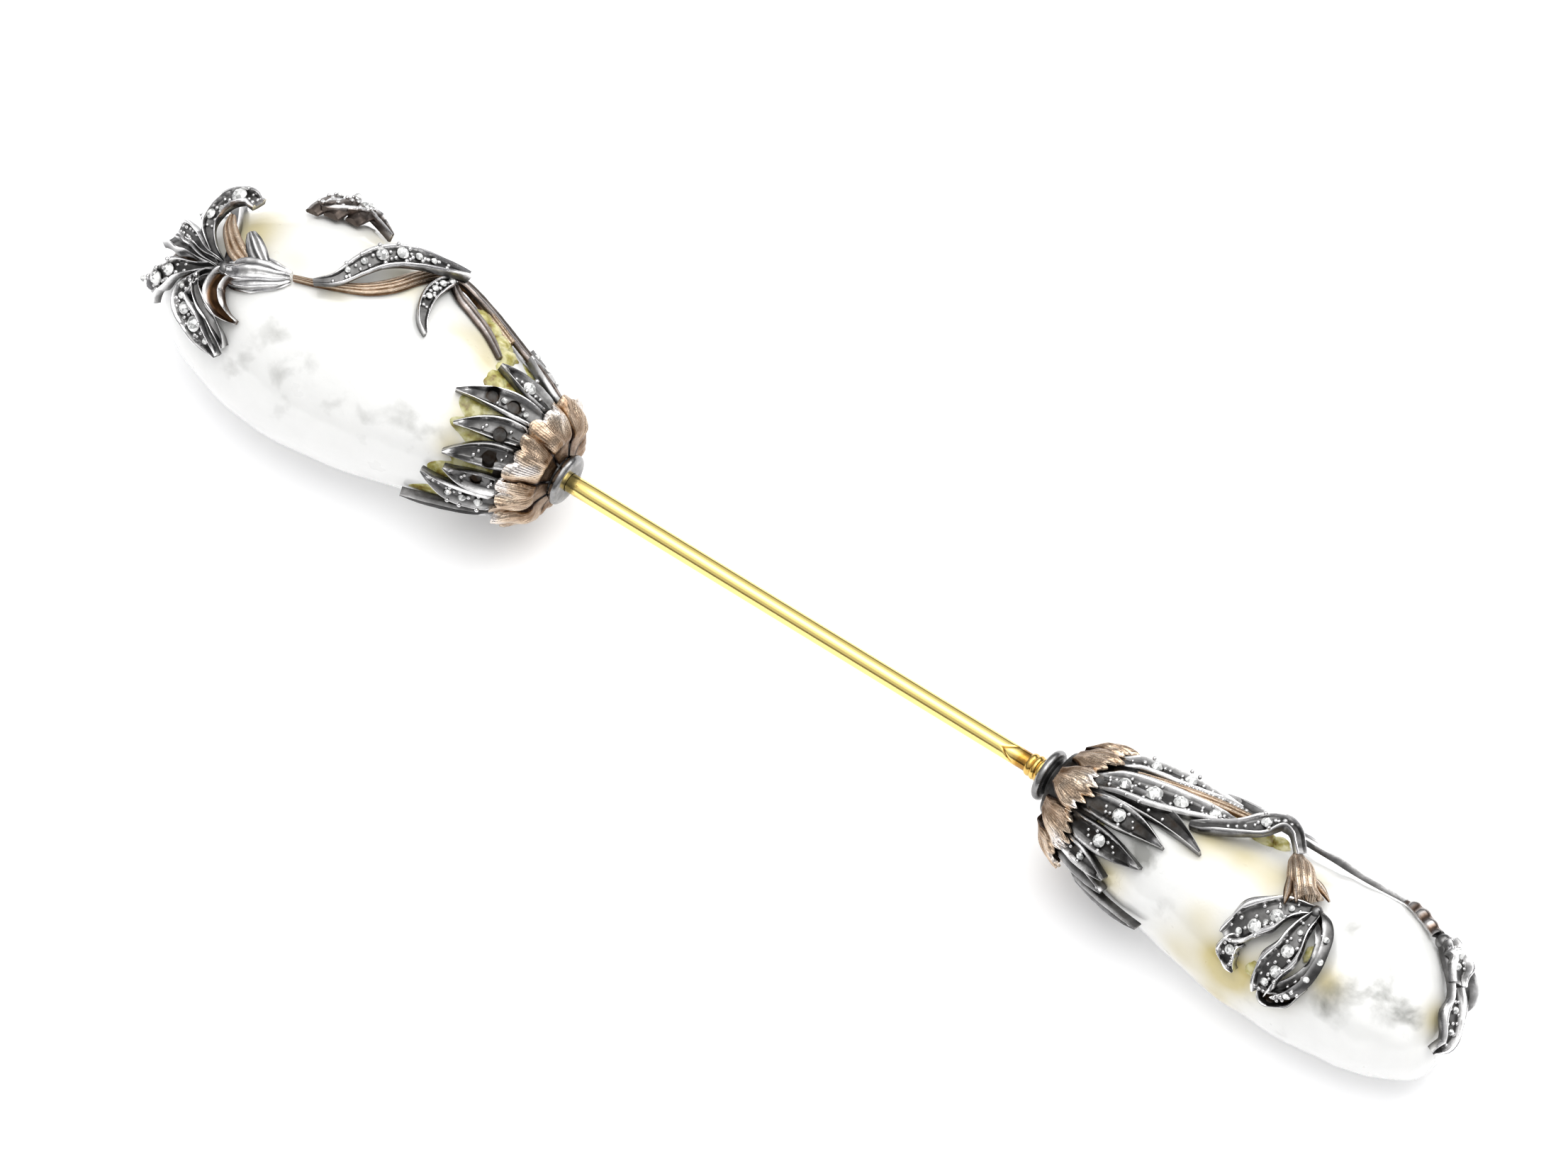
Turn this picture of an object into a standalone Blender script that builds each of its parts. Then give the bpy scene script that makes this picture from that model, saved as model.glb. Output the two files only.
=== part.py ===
"""Jabot pin: a gold rod that joins two baroque pearl heads, each capped with silver and gold leaves.

The rod lies along X and the heads point away from each other, the left one to -X. A place on a head
is given by along, the share of the head's length from its collar, by around, the angle in degrees
about the rod (0 faces -Y, 90 is the top), and by lift, the height above the pearl's form.
"""

import math

import bmesh
import bpy
from mathutils import Matrix, Vector
from mathutils.bvhtree import BVHTree

MM = 0.001

# Rod and what holds it
ROD_SHOWN = 34.9 * MM
ROD_DIAMETER = 1.2 * MM
ROD_SEATED = 0.9 * MM
ROD_IN_SOCKET = 9.0 * MM
ROD_POINT = 3.0 * MM
FERRULE_LENGTH = 1.1 * MM
FERRULE_WALL = 0.22 * MM
SOLDER_GAP = 0.03 * MM
SLIDING_GAP = 0.08 * MM

# Collars, necks and pegs, shared by both caps
COLLAR_DIAMETER = 3.36 * MM
COLLAR_THICKNESS = 0.6 * MM
NECK_DIAMETER = 2.1 * MM
NECK_LENGTH = 0.75 * MM
FLANGE_THICKNESS = 0.24 * MM
SOCKET_WALL = 0.3 * MM
SOCKET_FLOOR = 0.4 * MM
LEFT_PEG_DIAMETER = 1.6 * MM
LEFT_PEG_LENGTH = 5.0 * MM
TURNED_STEPS = 16

# Pearls
LEFT_HEAD_LENGTH = 28.5 * MM
LEFT_PEARL_WIDTH = 14.6 * MM
LEFT_PEARL_HEIGHT = 12.4 * MM
RIGHT_HEAD_LENGTH = 29.5 * MM
RIGHT_PEARL_WIDTH = 10.7 * MM
RIGHT_PEARL_HEIGHT = 9.6 * MM
PEARL_GAP = 0.1 * MM
PEARL_SIDES = 24
PEARL_RINGS = 15

# Cap metal: a cup against the pearl, leaves on it, gold leaves over their roots. Cups and gold
# leaves end at a share of the head's length, and the gold leaves start at a turn in degrees.
CUP_UNDERSIDE = 0.1 * MM
CUP_THICKNESS = 0.24 * MM
CUP_LEAD = 0.1 * MM
LEAF_UNDERSIDE = 0.14 * MM
LEAF_THICKNESS = 0.32 * MM
LEAF_RIM = 0.22 * MM
LEAF_HALF_WIDTH = 0.78 * MM
LEAF_LAYER = 0.1 * MM
GOLD_THICKNESS = 0.18 * MM
GOLD_FLARE = 0.3 * MM
GOLD_LEAVES = 8
METAL_GAP = 0.05 * MM
LEFT_CUP_SHARE = 0.115
LEFT_GOLD_SHARE = 0.108
LEFT_GOLD_TURN = -6.0
RIGHT_CUP_SHARE = 0.165
RIGHT_GOLD_SHARE = 0.148
RIGHT_GOLD_TURN = 7.0
SEAT_DEPTH = 0.3 * MM
EMPTY_SEAT_WIDTH = 0.62 * MM

# Flowers, vines and stems
RELIEF = 1.0 * MM
BAND_THICKNESS = 0.45 * MM
BAND_RIM = 0.18 * MM
BAND_HALF_WIDTH = 1.0 * MM
STEM_THICKNESS = 0.55 * MM
CALYX_THICKNESS = 0.6 * MM

# Stones
STONE_WIDTH = 1.0 * MM
STONE_HEIGHT_SHARE = 0.42
STONE_SIDES = 10
TABLE_SHARE = 0.42
SEAT_GAP = 0.03 * MM

# Sections of each head: along, half width, half height, shift to +Y, shift up.
# Widths and shifts are shares of the pearl's half width or half height.
LEFT_SECTIONS = (
    (0.025, 0.236, 0.270, 0.000, 0.000),
    (0.049, 0.333, 0.375, 0.000, 0.000),
    (0.095, 0.455, 0.500, 0.000, 0.000),
    (0.175, 0.618, 0.648, 0.000, 0.000),
    (0.281, 0.768, 0.788, 0.000, 0.000),
    (0.386, 0.884, 0.895, -0.004, 0.000),
    (0.491, 0.973, 0.976, -0.007, 0.000),
    (0.596, 1.000, 1.000, -0.007, 0.000),
    (0.702, 0.973, 0.976, -0.014, 0.000),
    (0.789, 0.877, 0.887, -0.027, 0.000),
    (0.867, 0.740, 0.758, -0.048, -0.016),
    (0.926, 0.562, 0.581, -0.068, -0.032),
    (0.972, 0.356, 0.371, -0.075, -0.048),
    (1.000, 0.000, 0.000, -0.080, -0.050),
)
RIGHT_SECTIONS = (
    (0.030, 0.322, 0.345, -0.005, -0.008),
    (0.054, 0.405, 0.432, -0.009, -0.030),
    (0.102, 0.540, 0.570, -0.019, -0.075),
    (0.186, 0.675, 0.696, -0.028, -0.140),
    (0.288, 0.780, 0.800, -0.047, -0.188),
    (0.407, 0.879, 0.896, -0.075, -0.240),
    (0.542, 0.963, 0.969, -0.093, -0.281),
    (0.678, 0.991, 1.000, -0.075, -0.292),
    (0.780, 0.991, 0.990, -0.047, -0.292),
    (0.864, 0.897, 0.906, -0.065, -0.302),
    (0.932, 0.710, 0.729, -0.103, -0.333),
    (0.976, 0.467, 0.479, -0.168, -0.375),
    (1.000, 0.000, 0.000, -0.187, -0.396),
)
# Lumps and dents of the pearls: along, around, reach, and height as a share of the half width.
# The reach is a share of the half width too.
LEFT_LUMPS = (
    (0.62, 45, 0.45, -0.016),
    (0.74, 40, 0.30, 0.014),
    (0.45, 85, 0.40, 0.014),
    (0.58, 5, 0.30, 0.016),
    (0.50, -20, 0.28, -0.014),
    (0.70, 10, 0.25, -0.012),
    (0.40, 20, 0.32, 0.010),
    (0.55, 200, 0.50, -0.020),
    (0.72, 250, 0.40, 0.018),
)
RIGHT_LUMPS = (
    (0.44, 128, 0.42, -0.040),
    (0.62, 20, 0.35, 0.016),
    (0.87, 75, 0.34, -0.030),
    (0.76, 88, 0.20, -0.018),
    (0.93, 40, 0.30, 0.020),
    (0.38, 60, 0.30, 0.014),
    (0.50, 210, 0.50, -0.022),
    (0.75, 250, 0.45, 0.016),
)

# Reach of a gold leaf across its width: share from its middle to its edge, share of its length
LEFT_GOLD_OUTLINE = ((0.0, 1.0), (0.33, 0.90), (0.67, 0.86), (1.0, 0.30))
RIGHT_GOLD_OUTLINE = ((0.0, 1.0), (0.33, 0.84), (0.67, 0.66), (1.0, 0.26))

# Width of a cap leaf along its length: share of the length, share of the half width
LEAF_OUTLINE = ((0.0, 0.66), (0.2, 0.88), (0.45, 1.0), (0.7, 0.80), (0.88, 0.44), (1.0, 0.10))

# Leaves of the caps: root along and around, tip along and around, how far the middle bends
# around, share of the leaf's half width, layer
LEFT_CAP_LEAVES = (
    (0.080, 123, 0.224, 112, 0, 0.88, 0),
    (0.078, 102, 0.260, 79, 2, 1.00, 1),
    (0.078, 80, 0.228, 61, 2, 0.95, 0),
    (0.074, 56, 0.221, 41, 2, 1.00, 1),
    (0.080, 24, 0.207, 30, -2, 0.90, 0),
    (0.085, 3, 0.246, 23, -5, 0.92, 1),
    (0.105, -24, 0.284, -9, 0, 0.70, 0),
    (0.080, 148, 0.205, 141, 0, 0.90, 1),
    (0.080, 172, 0.235, 168, 0, 0.95, 0),
    (0.080, 197, 0.250, 200, 0, 1.00, 1),
    (0.080, 222, 0.230, 226, 0, 0.95, 0),
    (0.080, 247, 0.250, 248, 0, 1.00, 1),
    (0.080, 272, 0.230, 270, 0, 0.95, 0),
    (0.080, 297, 0.245, 296, 0, 1.00, 1),
    (0.080, 317, 0.225, 318, 0, 0.90, 0),
)
RIGHT_CAP_LEAVES = (
    (0.128, 90, 0.392, 84, 7, 0.95, 0),
    (0.122, 70, 0.322, 72, 3, 1.00, 1),
    (0.118, 45, 0.302, 50, 0, 1.00, 0),
    (0.110, 23, 0.241, 23, 0, 0.85, 1),
    (0.100, 3, 0.244, 9, 0, 0.85, 0),
    (0.140, -14, 0.346, 7, -4, 0.55, 1),
    (0.120, 175, 0.290, 179, 0, 0.95, 0),
    (0.115, 197, 0.270, 200, 0, 0.95, 1),
    (0.115, 222, 0.290, 224, 0, 0.95, 0),
    (0.115, 247, 0.270, 248, 0, 0.95, 1),
    (0.115, 272, 0.290, 272, 0, 0.95, 0),
    (0.115, 297, 0.270, 296, 0, 0.95, 1),
    (0.115, 321, 0.285, 320, 0, 0.95, 0),
)
# Empty seats in the left cap, where stones are missing: along, around, share of the seat's width
EMPTY_SEATS = (
    (0.193, 91, 1.00),
    (0.147, 95, 1.05),
    (0.137, 70, 1.10),
    (0.133, 49, 1.10),
    (0.140, 26, 0.90),
)

# Bands, such as leaves, petals and vines: along, around, lift as a share of RELIEF, half width
# as a share of BAND_HALF_WIDTH, lean of the band's face in degrees
LONG_LEAF = (
    (0.115, 93, 0.14, 0.55, 0),
    (0.171, 102, 0.14, 0.80, 0),
    (0.234, 107, 0.16, 0.95, 0),
    (0.300, 113, 0.18, 0.85, 0),
    (0.368, 120, 0.18, 0.50, 0),
    (0.405, 125, 0.14, 0.10, 0),
)
FAR_LEAF = (
    (0.120, 130, 0.16, 0.55, 0),
    (0.180, 143, 0.18, 0.80, 0),
    (0.260, 148, 0.18, 0.90, 0),
    (0.320, 153, 0.18, 0.75, 0),
    (0.372, 158, 0.20, 0.20, 0),
)
VINE_LEAF = (
    (0.628, 84, 0.74, 0.16, 0),
    (0.592, 91, 0.80, 0.42, -12),
    (0.572, 101, 1.00, 0.66, -18),
    (0.553, 109, 1.20, 0.76, -20),
    (0.527, 116, 1.25, 0.76, -20),
    (0.495, 123, 1.15, 0.70, -16),
    (0.455, 132, 0.98, 0.56, -8),
    (0.415, 144, 0.88, 0.24, 0),
)
HOOK_LEAF = (
    (0.422, 142, 0.14, 0.12, 0),
    (0.431, 134, 0.14, 0.40, 0),
    (0.433, 126, 0.14, 0.50, 0),
    (0.431, 117, 0.14, 0.52, 0),
    (0.421, 108, 0.14, 0.46, 0),
    (0.403, 100, 0.12, 0.32, 0),
    (0.380, 95, 0.10, 0.10, 0),
)
RIGHT_VINE = (
    (0.338, 101, 0.12, 0.18, 0),
    (0.368, 104, 0.28, 0.32, 0),
    (0.412, 110, 0.58, 0.40, 0),
    (0.447, 116, 0.95, 0.46, 0),
    (0.472, 123, 1.30, 0.48, 0),
    (0.500, 128, 1.55, 0.44, 0),
    (0.527, 127, 1.50, 0.34, 0),
    (0.545, 123, 1.20, 0.28, 0),
    (0.556, 119, 0.95, 0.22, 0),
)
FAR_VINE = (
    (0.352, 165, 0.86, 0.20, 0),
    (0.400, 162, 0.70, 0.50, 0),
    (0.458, 158, 0.55, 0.62, 0),
    (0.525, 147, 0.60, 0.60, 0),
    (0.580, 146, 0.45, 0.34, 0),
    (0.640, 152, 0.20, 0.14, 0),
    (0.705, 157, 0.12, 0.13, 0),
    (0.765, 157, 0.12, 0.13, 0),
)
BUD = (
    (0.742, 129, 0.45, 0.24, 0),
    (0.722, 134, 0.50, 0.74, 0),
    (0.695, 142, 0.50, 0.80, 0),
    (0.665, 148, 0.45, 0.66, 0),
    (0.630, 142, 0.32, 0.34, 0),
    (0.590, 136, 0.16, 0.10, 0),
)
LEFT_PETALS = {
    "standard": (
        (0.815, 71, 0.36, 0.26, 0),
        (0.862, 78, 0.52, 0.28, -10),
        (0.890, 89, 0.95, 0.48, -22),
        (0.889, 100, 1.35, 0.58, -28),
        (0.870, 107, 1.70, 0.62, -22),
        (0.842, 109, 1.75, 0.60, -10),
        (0.822, 107, 1.35, 0.34, 0),
    ),
    "folded": (
        (0.815, 71, 0.40, 0.22, 0),
        (0.872, 76, 0.62, 0.24, 12),
        (0.915, 82, 0.80, 0.52, 22),
        (0.945, 85, 0.85, 0.40, 28),
    ),
    "cupped": (
        (0.815, 71, 0.36, 0.24, 0),
        (0.876, 71, 0.55, 0.24, -8),
        (0.925, 70, 0.70, 0.48, -24),
        (0.958, 68, 0.80, 0.46, -34),
    ),
    "left": (
        (0.815, 71, 0.34, 0.26, 0),
        (0.866, 65, 0.50, 0.30, 6),
        (0.905, 57, 0.72, 0.66, 12),
        (0.930, 43, 0.72, 0.84, 10),
        (0.932, 28, 0.45, 0.40, 0),
    ),
    "fall": (
        (0.815, 70, 0.32, 0.24, 0),
        (0.850, 61, 0.42, 0.30, 0),
        (0.870, 48, 0.45, 0.62, 0),
        (0.845, 39, 0.36, 0.86, 0),
        (0.800, 34, 0.26, 0.82, 0),
        (0.736, 30, 0.14, 0.12, 0),
    ),
    "hooked": (
        (0.812, 70, 0.32, 0.24, 0),
        (0.806, 62, 0.38, 0.52, -10),
        (0.800, 56, 0.40, 0.76, -16),
        (0.772, 51, 0.34, 0.40, -10),
        (0.735, 50, 0.22, 0.10, 0),
    ),
    "far": (
        (0.815, 72, 0.34, 0.24, 0),
        (0.850, 100, 0.26, 0.30, 0),
        (0.895, 128, 0.26, 0.80, 0),
        (0.915, 155, 0.26, 0.90, 0),
        (0.880, 176, 0.20, 0.20, 0),
    ),
}
RIGHT_PETALS = {
    "upper": (
        (0.668, 90, 0.60, 0.22, 0),
        (0.646, 83, 0.64, 0.46, 0),
        (0.622, 77, 0.64, 0.82, -4),
        (0.598, 70, 0.60, 0.98, -8),
        (0.572, 61, 0.54, 0.94, -8),
        (0.538, 53, 0.42, 0.46, 0),
    ),
    "lobe": (
        (0.575, 54, 0.30, 0.40, 0),
        (0.556, 46, 0.34, 0.62, 0),
        (0.560, 39, 0.26, 0.52, 0),
        (0.580, 33, 0.14, 0.12, 0),
    ),
    "middle": (
        (0.672, 90, 0.62, 0.22, 0),
        (0.668, 76, 0.78, 0.52, 0),
        (0.668, 62, 0.82, 0.86, 0),
        (0.666, 49, 0.74, 0.94, 0),
        (0.674, 36, 0.50, 0.80, 0),
        (0.690, 29, 0.26, 0.50, 0),
    ),
    "ring": (
        (0.676, 90, 0.66, 0.26, 40),
        (0.712, 85, 0.62, 0.42, 70),
        (0.742, 75, 0.58, 0.46, 80),
        (0.753, 63, 0.56, 0.46, 80),
        (0.745, 50, 0.55, 0.46, 75),
        (0.722, 38, 0.52, 0.44, 65),
        (0.685, 27, 0.40, 0.34, 40),
    ),
}
END_PETALS = {
    "upper": (
        (0.880, 137, 0.40, 0.26, 0),
        (0.900, 137, 0.62, 0.76, 0),
        (0.922, 133, 0.78, 1.02, 0),
        (0.945, 121, 0.66, 0.66, 0),
    ),
    "lower": (
        (0.884, 136, 0.34, 0.26, 0),
        (0.950, 122, 0.30, 0.60, 0),
        (0.975, 104, 0.52, 1.05, 0),
        (0.985, 76, 0.50, 0.62, 0),
        (0.980, 55, 0.30, 0.12, 0),
    ),
    "far": (
        (0.882, 138, 0.34, 0.26, 0),
        (0.905, 163, 0.40, 0.66, 0),
        (0.935, 198, 0.40, 1.00, 0),
        (0.920, 225, 0.25, 0.16, 0),
    ),
}
LEFT_CALYX = {
    "bell": (
        (0.687, 82, 0.12, 0.24, 0),
        (0.706, 81, 0.12, 0.54, 0),
        (0.730, 79, 0.12, 0.82, 0),
        (0.756, 76, 0.12, 0.86, 0),
        (0.782, 73, 0.12, 0.50, 0),
    ),
    "near_lobe": (
        (0.735, 80, 0.40, 0.30, 0),
        (0.765, 85, 0.62, 0.40, 0),
        (0.795, 91, 0.90, 0.14, 0),
    ),
    "tall_lobe": (
        (0.752, 78, 0.36, 0.30, 0),
        (0.798, 85, 0.74, 0.50, 0),
        (0.838, 94, 1.10, 0.14, 0),
    ),
    "low_lobe": (
        (0.712, 79, 0.32, 0.28, 0),
        (0.722, 72, 0.40, 0.42, 0),
        (0.738, 64, 0.36, 0.14, 0),
    ),
}
RIGHT_CALYX = {
    "bell": (
        (0.567, 115, 0.70, 0.24, 0),
        (0.590, 108, 0.66, 0.50, 0),
        (0.612, 102, 0.62, 0.72, 0),
        (0.634, 97, 0.56, 0.74, 0),
    ),
}
END_CALYX = {
    "bell": (
        (0.775, 149, 0.10, 0.20, 0),
        (0.798, 146, 0.12, 0.42, 0),
        (0.822, 143, 0.14, 0.52, 0),
        (0.843, 140, 0.18, 0.44, 0),
    ),
}

# Hearts that the petals are soldered to: along, around, lift and radius as shares of RELIEF
LEFT_HEART = (0.818, 71, 0.62, 0.56)
RIGHT_HEART = (0.668, 89, 0.82, 0.42)
END_HEART = (0.882, 137, 0.58, 0.50)

# Stems, in the same columns as the bands
LEFT_STEM = (
    (0.228, 137, 0.14, 0.72, 0),
    (0.270, 147, 0.12, 0.66, 0),
    (0.310, 154, 0.12, 0.60, 0),
    (0.350, 158, 0.12, 0.52, 0),
    (0.392, 157, 0.12, 0.42, 0),
    (0.432, 148, 0.10, 0.34, 0),
    (0.462, 134, 0.10, 0.30, 0),
    (0.480, 121, 0.10, 0.28, 0),
    (0.498, 109, 0.10, 0.32, 0),
    (0.534, 99, 0.10, 0.36, 0),
    (0.583, 91, 0.10, 0.28, 0),
    (0.636, 86, 0.10, 0.22, 0),
    (0.678, 83, 0.12, 0.18, 0),
)
RIGHT_GOLD_STEM = (
    (0.182, 121, 0.12, 0.16, 0),
    (0.210, 124, 0.12, 0.24, 0),
    (0.255, 129, 0.14, 0.26, 0),
    (0.310, 135, 0.14, 0.28, 0),
    (0.355, 142, 0.12, 0.28, 0),
    (0.410, 150, 0.10, 0.16, 0),
)

# Stones of their own: name, what carries it, along, around, lift to look from, share of STONE_WIDTH
LEFT_STONES = (
    ("left_leaf_stone_1", "left_cap", 0.152, 118, 1.5, 0.80),
    ("left_leaf_stone_2", "left_cap", 0.186, 8, 1.5, 0.46),
    ("left_leaf_stone_3", "left_cap", 0.158, 5, 1.5, 0.52),
    ("left_leaf_stone_4", "left_cap", 0.128, 2, 1.5, 0.58),
    ("left_vine_stone_1", "left_vine_leaf", 0.583, 96, 2.6, 0.40),
    ("left_vine_stone_2", "left_vine_leaf", 0.568, 103, 2.6, 0.46),
    ("left_vine_stone_3", "left_vine_leaf", 0.549, 110, 2.6, 0.80),
    ("left_vine_stone_4", "left_vine_leaf", 0.523, 117, 2.6, 0.78),
    ("left_vine_stone_5", "left_vine_leaf", 0.497, 122, 2.6, 0.50),
    ("left_vine_stone_6", "left_vine_leaf", 0.473, 127, 2.6, 0.42),
    ("left_hook_stone_1", "left_hook_leaf", 0.430, 114, 2.0, 0.44),
    ("left_hook_stone_2", "left_hook_leaf", 0.434, 121, 2.0, 0.44),
    ("left_hook_stone_3", "left_hook_leaf", 0.433, 128, 2.0, 0.48),
    ("left_hook_stone_4", "left_hook_leaf", 0.428, 136, 2.0, 0.50),
    ("left_standard_stone_1", "left_flower", 0.893, 95, 3.4, 0.62),
    ("left_standard_stone_2", "left_flower", 0.858, 108, 3.6, 0.90),
    ("left_petal_stone_1", "left_flower", 0.935, 42, 2.6, 0.86),
    ("left_petal_stone_2", "left_flower", 0.915, 54, 2.6, 0.70),
    ("left_fall_stone_1", "left_flower", 0.868, 45, 2.2, 0.46),
    ("left_fall_stone_2", "left_flower", 0.850, 40, 2.2, 0.70),
    ("left_fall_stone_3", "left_flower", 0.814, 36, 2.2, 0.90),
    ("left_bud_stone", "left_bud", 0.680, 145, 2.6, 0.74),
)
RIGHT_STONES = (
    ("right_long_stone_1", "right_cap", 0.171, 102, 1.5, 0.72),
    ("right_long_stone_2", "right_cap", 0.234, 107, 1.5, 1.00),
    ("right_long_stone_3", "right_cap", 0.290, 112, 1.5, 0.88),
    ("right_long_stone_4", "right_cap", 0.360, 119, 1.5, 0.66),
    ("right_leaf_stone_1", "right_cap", 0.205, 74, 1.5, 0.88),
    ("right_leaf_stone_2", "right_cap", 0.195, 47, 1.5, 0.84),
    ("right_leaf_stone_3", "right_cap", 0.172, 23, 1.5, 0.52),
    ("right_far_stone_1", "right_cap", 0.190, 144, 1.6, 0.72),
    ("right_far_stone_2", "right_cap", 0.262, 148, 1.6, 0.80),
    ("right_vine_stone", "right_vine", 0.470, 123, 2.6, 0.56),
    ("right_petal_stone_1", "right_flower", 0.608, 75, 2.6, 0.86),
    ("right_petal_stone_2", "right_flower", 0.580, 64, 2.6, 0.88),
    ("right_petal_stone_3", "right_flower", 0.556, 44, 2.6, 0.66),
    ("right_petal_stone_4", "right_flower", 0.668, 61, 2.6, 0.84),
    ("right_petal_stone_5", "right_flower", 0.666, 48, 2.6, 0.78),
    ("right_end_stone_1", "right_end_flower", 0.912, 136, 2.8, 0.86),
)


class Head:
    """One pearl head: the side it is on, its length, its half sizes, its sections and its lumps."""

    def __init__(self, side, length, width, height, sections, lumps):
        self.side = side
        self.start = ROD_SHOWN / 2 + COLLAR_THICKNESS / 2
        self.length = length
        self.half_width = width / 2
        self.half_height = height / 2
        self.sections = sections
        self.lumps = lumps

    def section(self, along):
        """Half width, half height, shift to +Y and shift up at a share of the length."""
        squares = [(row[0], row[1] ** 2, row[2] ** 2, row[3], row[4]) for row in self.sections]
        width, height, aside, up = eased(squares, along)
        return (
            math.sqrt(max(width, 0.0)) * self.half_width,
            math.sqrt(max(height, 0.0)) * self.half_height,
            aside * self.half_width,
            up * self.half_height,
        )

    def swell(self, along, around):
        """How far the lumps and dents move the surface out, as a share of its distance."""
        total = 0.0
        for lump_along, lump_around, reach, height in self.lumps:
            turned = (around - lump_around + 180.0) % 360.0 - 180.0
            across = math.radians(turned) / reach
            ahead = (along - lump_along) * self.length / (reach * self.half_width)
            total += height * math.exp(-(across * across + ahead * ahead))
        return 1.0 + total

    def point(self, along, around):
        """The pearl's surface."""
        width, height, aside, up = self.section(along)
        angle = math.radians(around)
        swell = self.swell(along, around)
        return Vector((
            self.side * (self.start + along * self.length),
            aside - width * math.cos(angle) * swell,
            up + height * math.sin(angle) * swell,
        ))

    def lifted(self, along, around, lift):
        """A point above the pearl's surface and the direction that is straight out there."""
        first = self.sections[0][0] + 0.004
        along = min(max(along, first), 0.994)
        ahead = self.point(along + 0.004, around) - self.point(along - 0.004, around)
        across = self.point(along, around + 2.0) - self.point(along, around - 2.0)
        out = ahead.cross(across).normalized()
        here = self.point(along, around)
        width, height, aside, up = self.section(along)
        middle = Vector((here.x, aside, up))
        if out.dot(here - middle) < 0.0:
            out.negate()
        return here + out * lift, out

    def place(self, point):
        """The along and around of a point near the surface."""
        along = (self.side * point.x - self.start) / self.length
        inside = min(max(along, self.sections[0][0]), 0.994)
        width, height, aside, up = self.section(inside)
        around = math.atan2((point.z - up) / height, (aside - point.y) / width)
        return inside, math.degrees(around)


def eased(rows, at):
    """Smooth values of a table at a place between its rows; the first column is the place."""
    last = len(rows) - 1
    at = min(max(at, rows[0][0]), rows[last][0])
    index = 0
    while index < last - 1 and at > rows[index + 1][0]:
        index += 1

    def slope(i, column):
        low = max(i - 1, 0)
        high = min(i + 1, last)
        return (rows[high][column] - rows[low][column]) / (rows[high][0] - rows[low][0])

    span = rows[index + 1][0] - rows[index][0]
    t = (at - rows[index][0]) / span
    values = []
    for column in range(1, len(rows[0])):
        start, end = rows[index][column], rows[index + 1][column]
        values.append(
            (2 * t**3 - 3 * t**2 + 1) * start
            + (t**3 - 2 * t**2 + t) * span * slope(index, column)
            + (3 * t**2 - 2 * t**3) * end
            + (t**3 - t**2) * span * slope(index + 1, column)
        )
    return values


def spread(rows, t):
    """Smooth values of a table whose rows are evenly spaced from 0 to 1."""
    last = len(rows) - 1
    return eased([(index / last,) + tuple(row) for index, row in enumerate(rows)], t)


LEFT = Head(-1, LEFT_HEAD_LENGTH, LEFT_PEARL_WIDTH, LEFT_PEARL_HEIGHT, LEFT_SECTIONS, LEFT_LUMPS)
RIGHT = Head(1, RIGHT_HEAD_LENGTH, RIGHT_PEARL_WIDTH, RIGHT_PEARL_HEIGHT, RIGHT_SECTIONS, RIGHT_LUMPS)


def clear_scene():
    """Remove what the scene holds."""
    for item in list(bpy.data.objects):
        bpy.data.objects.remove(item, do_unlink=True)


def make_collection(name, parent=None):
    """A collection under the scene's, or under another."""
    collection = bpy.data.collections.new(name)
    (parent or bpy.context.scene.collection).children.link(collection)
    return collection


def make_material(name, colour, metallic, roughness):
    """A plain Principled material."""
    material = bpy.data.materials.new(name)
    material.use_nodes = True
    shader = material.node_tree.nodes["Principled BSDF"]
    shader.inputs["Base Color"].default_value = (*colour, 1.0)
    shader.inputs["Metallic"].default_value = metallic
    shader.inputs["Roughness"].default_value = roughness
    return material


def add_object(name, bm, material, collection):
    """An object of a bmesh, shaded smooth apart from its sharp edges."""
    mesh = bpy.data.meshes.new(name)
    bm.to_mesh(mesh)
    bm.free()
    item = bpy.data.objects.new(name, mesh)
    collection.objects.link(item)
    if material:
        mesh.materials.append(material)
        mesh.shade_smooth()
        mesh.set_sharp_from_angle(angle=math.radians(40.0))
    return item


def as_helper(item):
    """Show a joining piece or a cutter as wire and leave it out of the model."""
    item.hide_render = True
    item.display_type = "WIRE"
    return item


def boolean(item, operation, helpers):
    """Join the helpers to an object, or cut them from it."""
    modifier = item.modifiers.new(operation.lower(), "BOOLEAN")
    modifier.operation = operation
    modifier.solver = "EXACT"
    modifier.operand_type = "COLLECTION"
    modifier.collection = helpers


def sheet_solid(across, lengthwise, place):
    """A closed solid from a grid: place(s, t, top) puts each point of its two faces.

    s runs from -1 to 1 across and t from 0 to 1 along it, and top is 0 or 1.
    """
    bm = bmesh.new()
    bmesh.ops.create_grid(bm, x_segments=across, y_segments=lengthwise, size=1.0)
    raised = bmesh.ops.extrude_face_region(bm, geom=bm.faces[:], use_keep_orig=True)
    upper = {element for element in raised["geom"] if isinstance(element, bmesh.types.BMVert)}
    for vert in bm.verts:
        s, t = vert.co.x, (vert.co.y + 1.0) / 2.0
        vert.co = place(s, t, 1 if vert in upper else 0)
    bmesh.ops.recalc_face_normals(bm, faces=bm.faces[:])
    return bm


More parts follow.
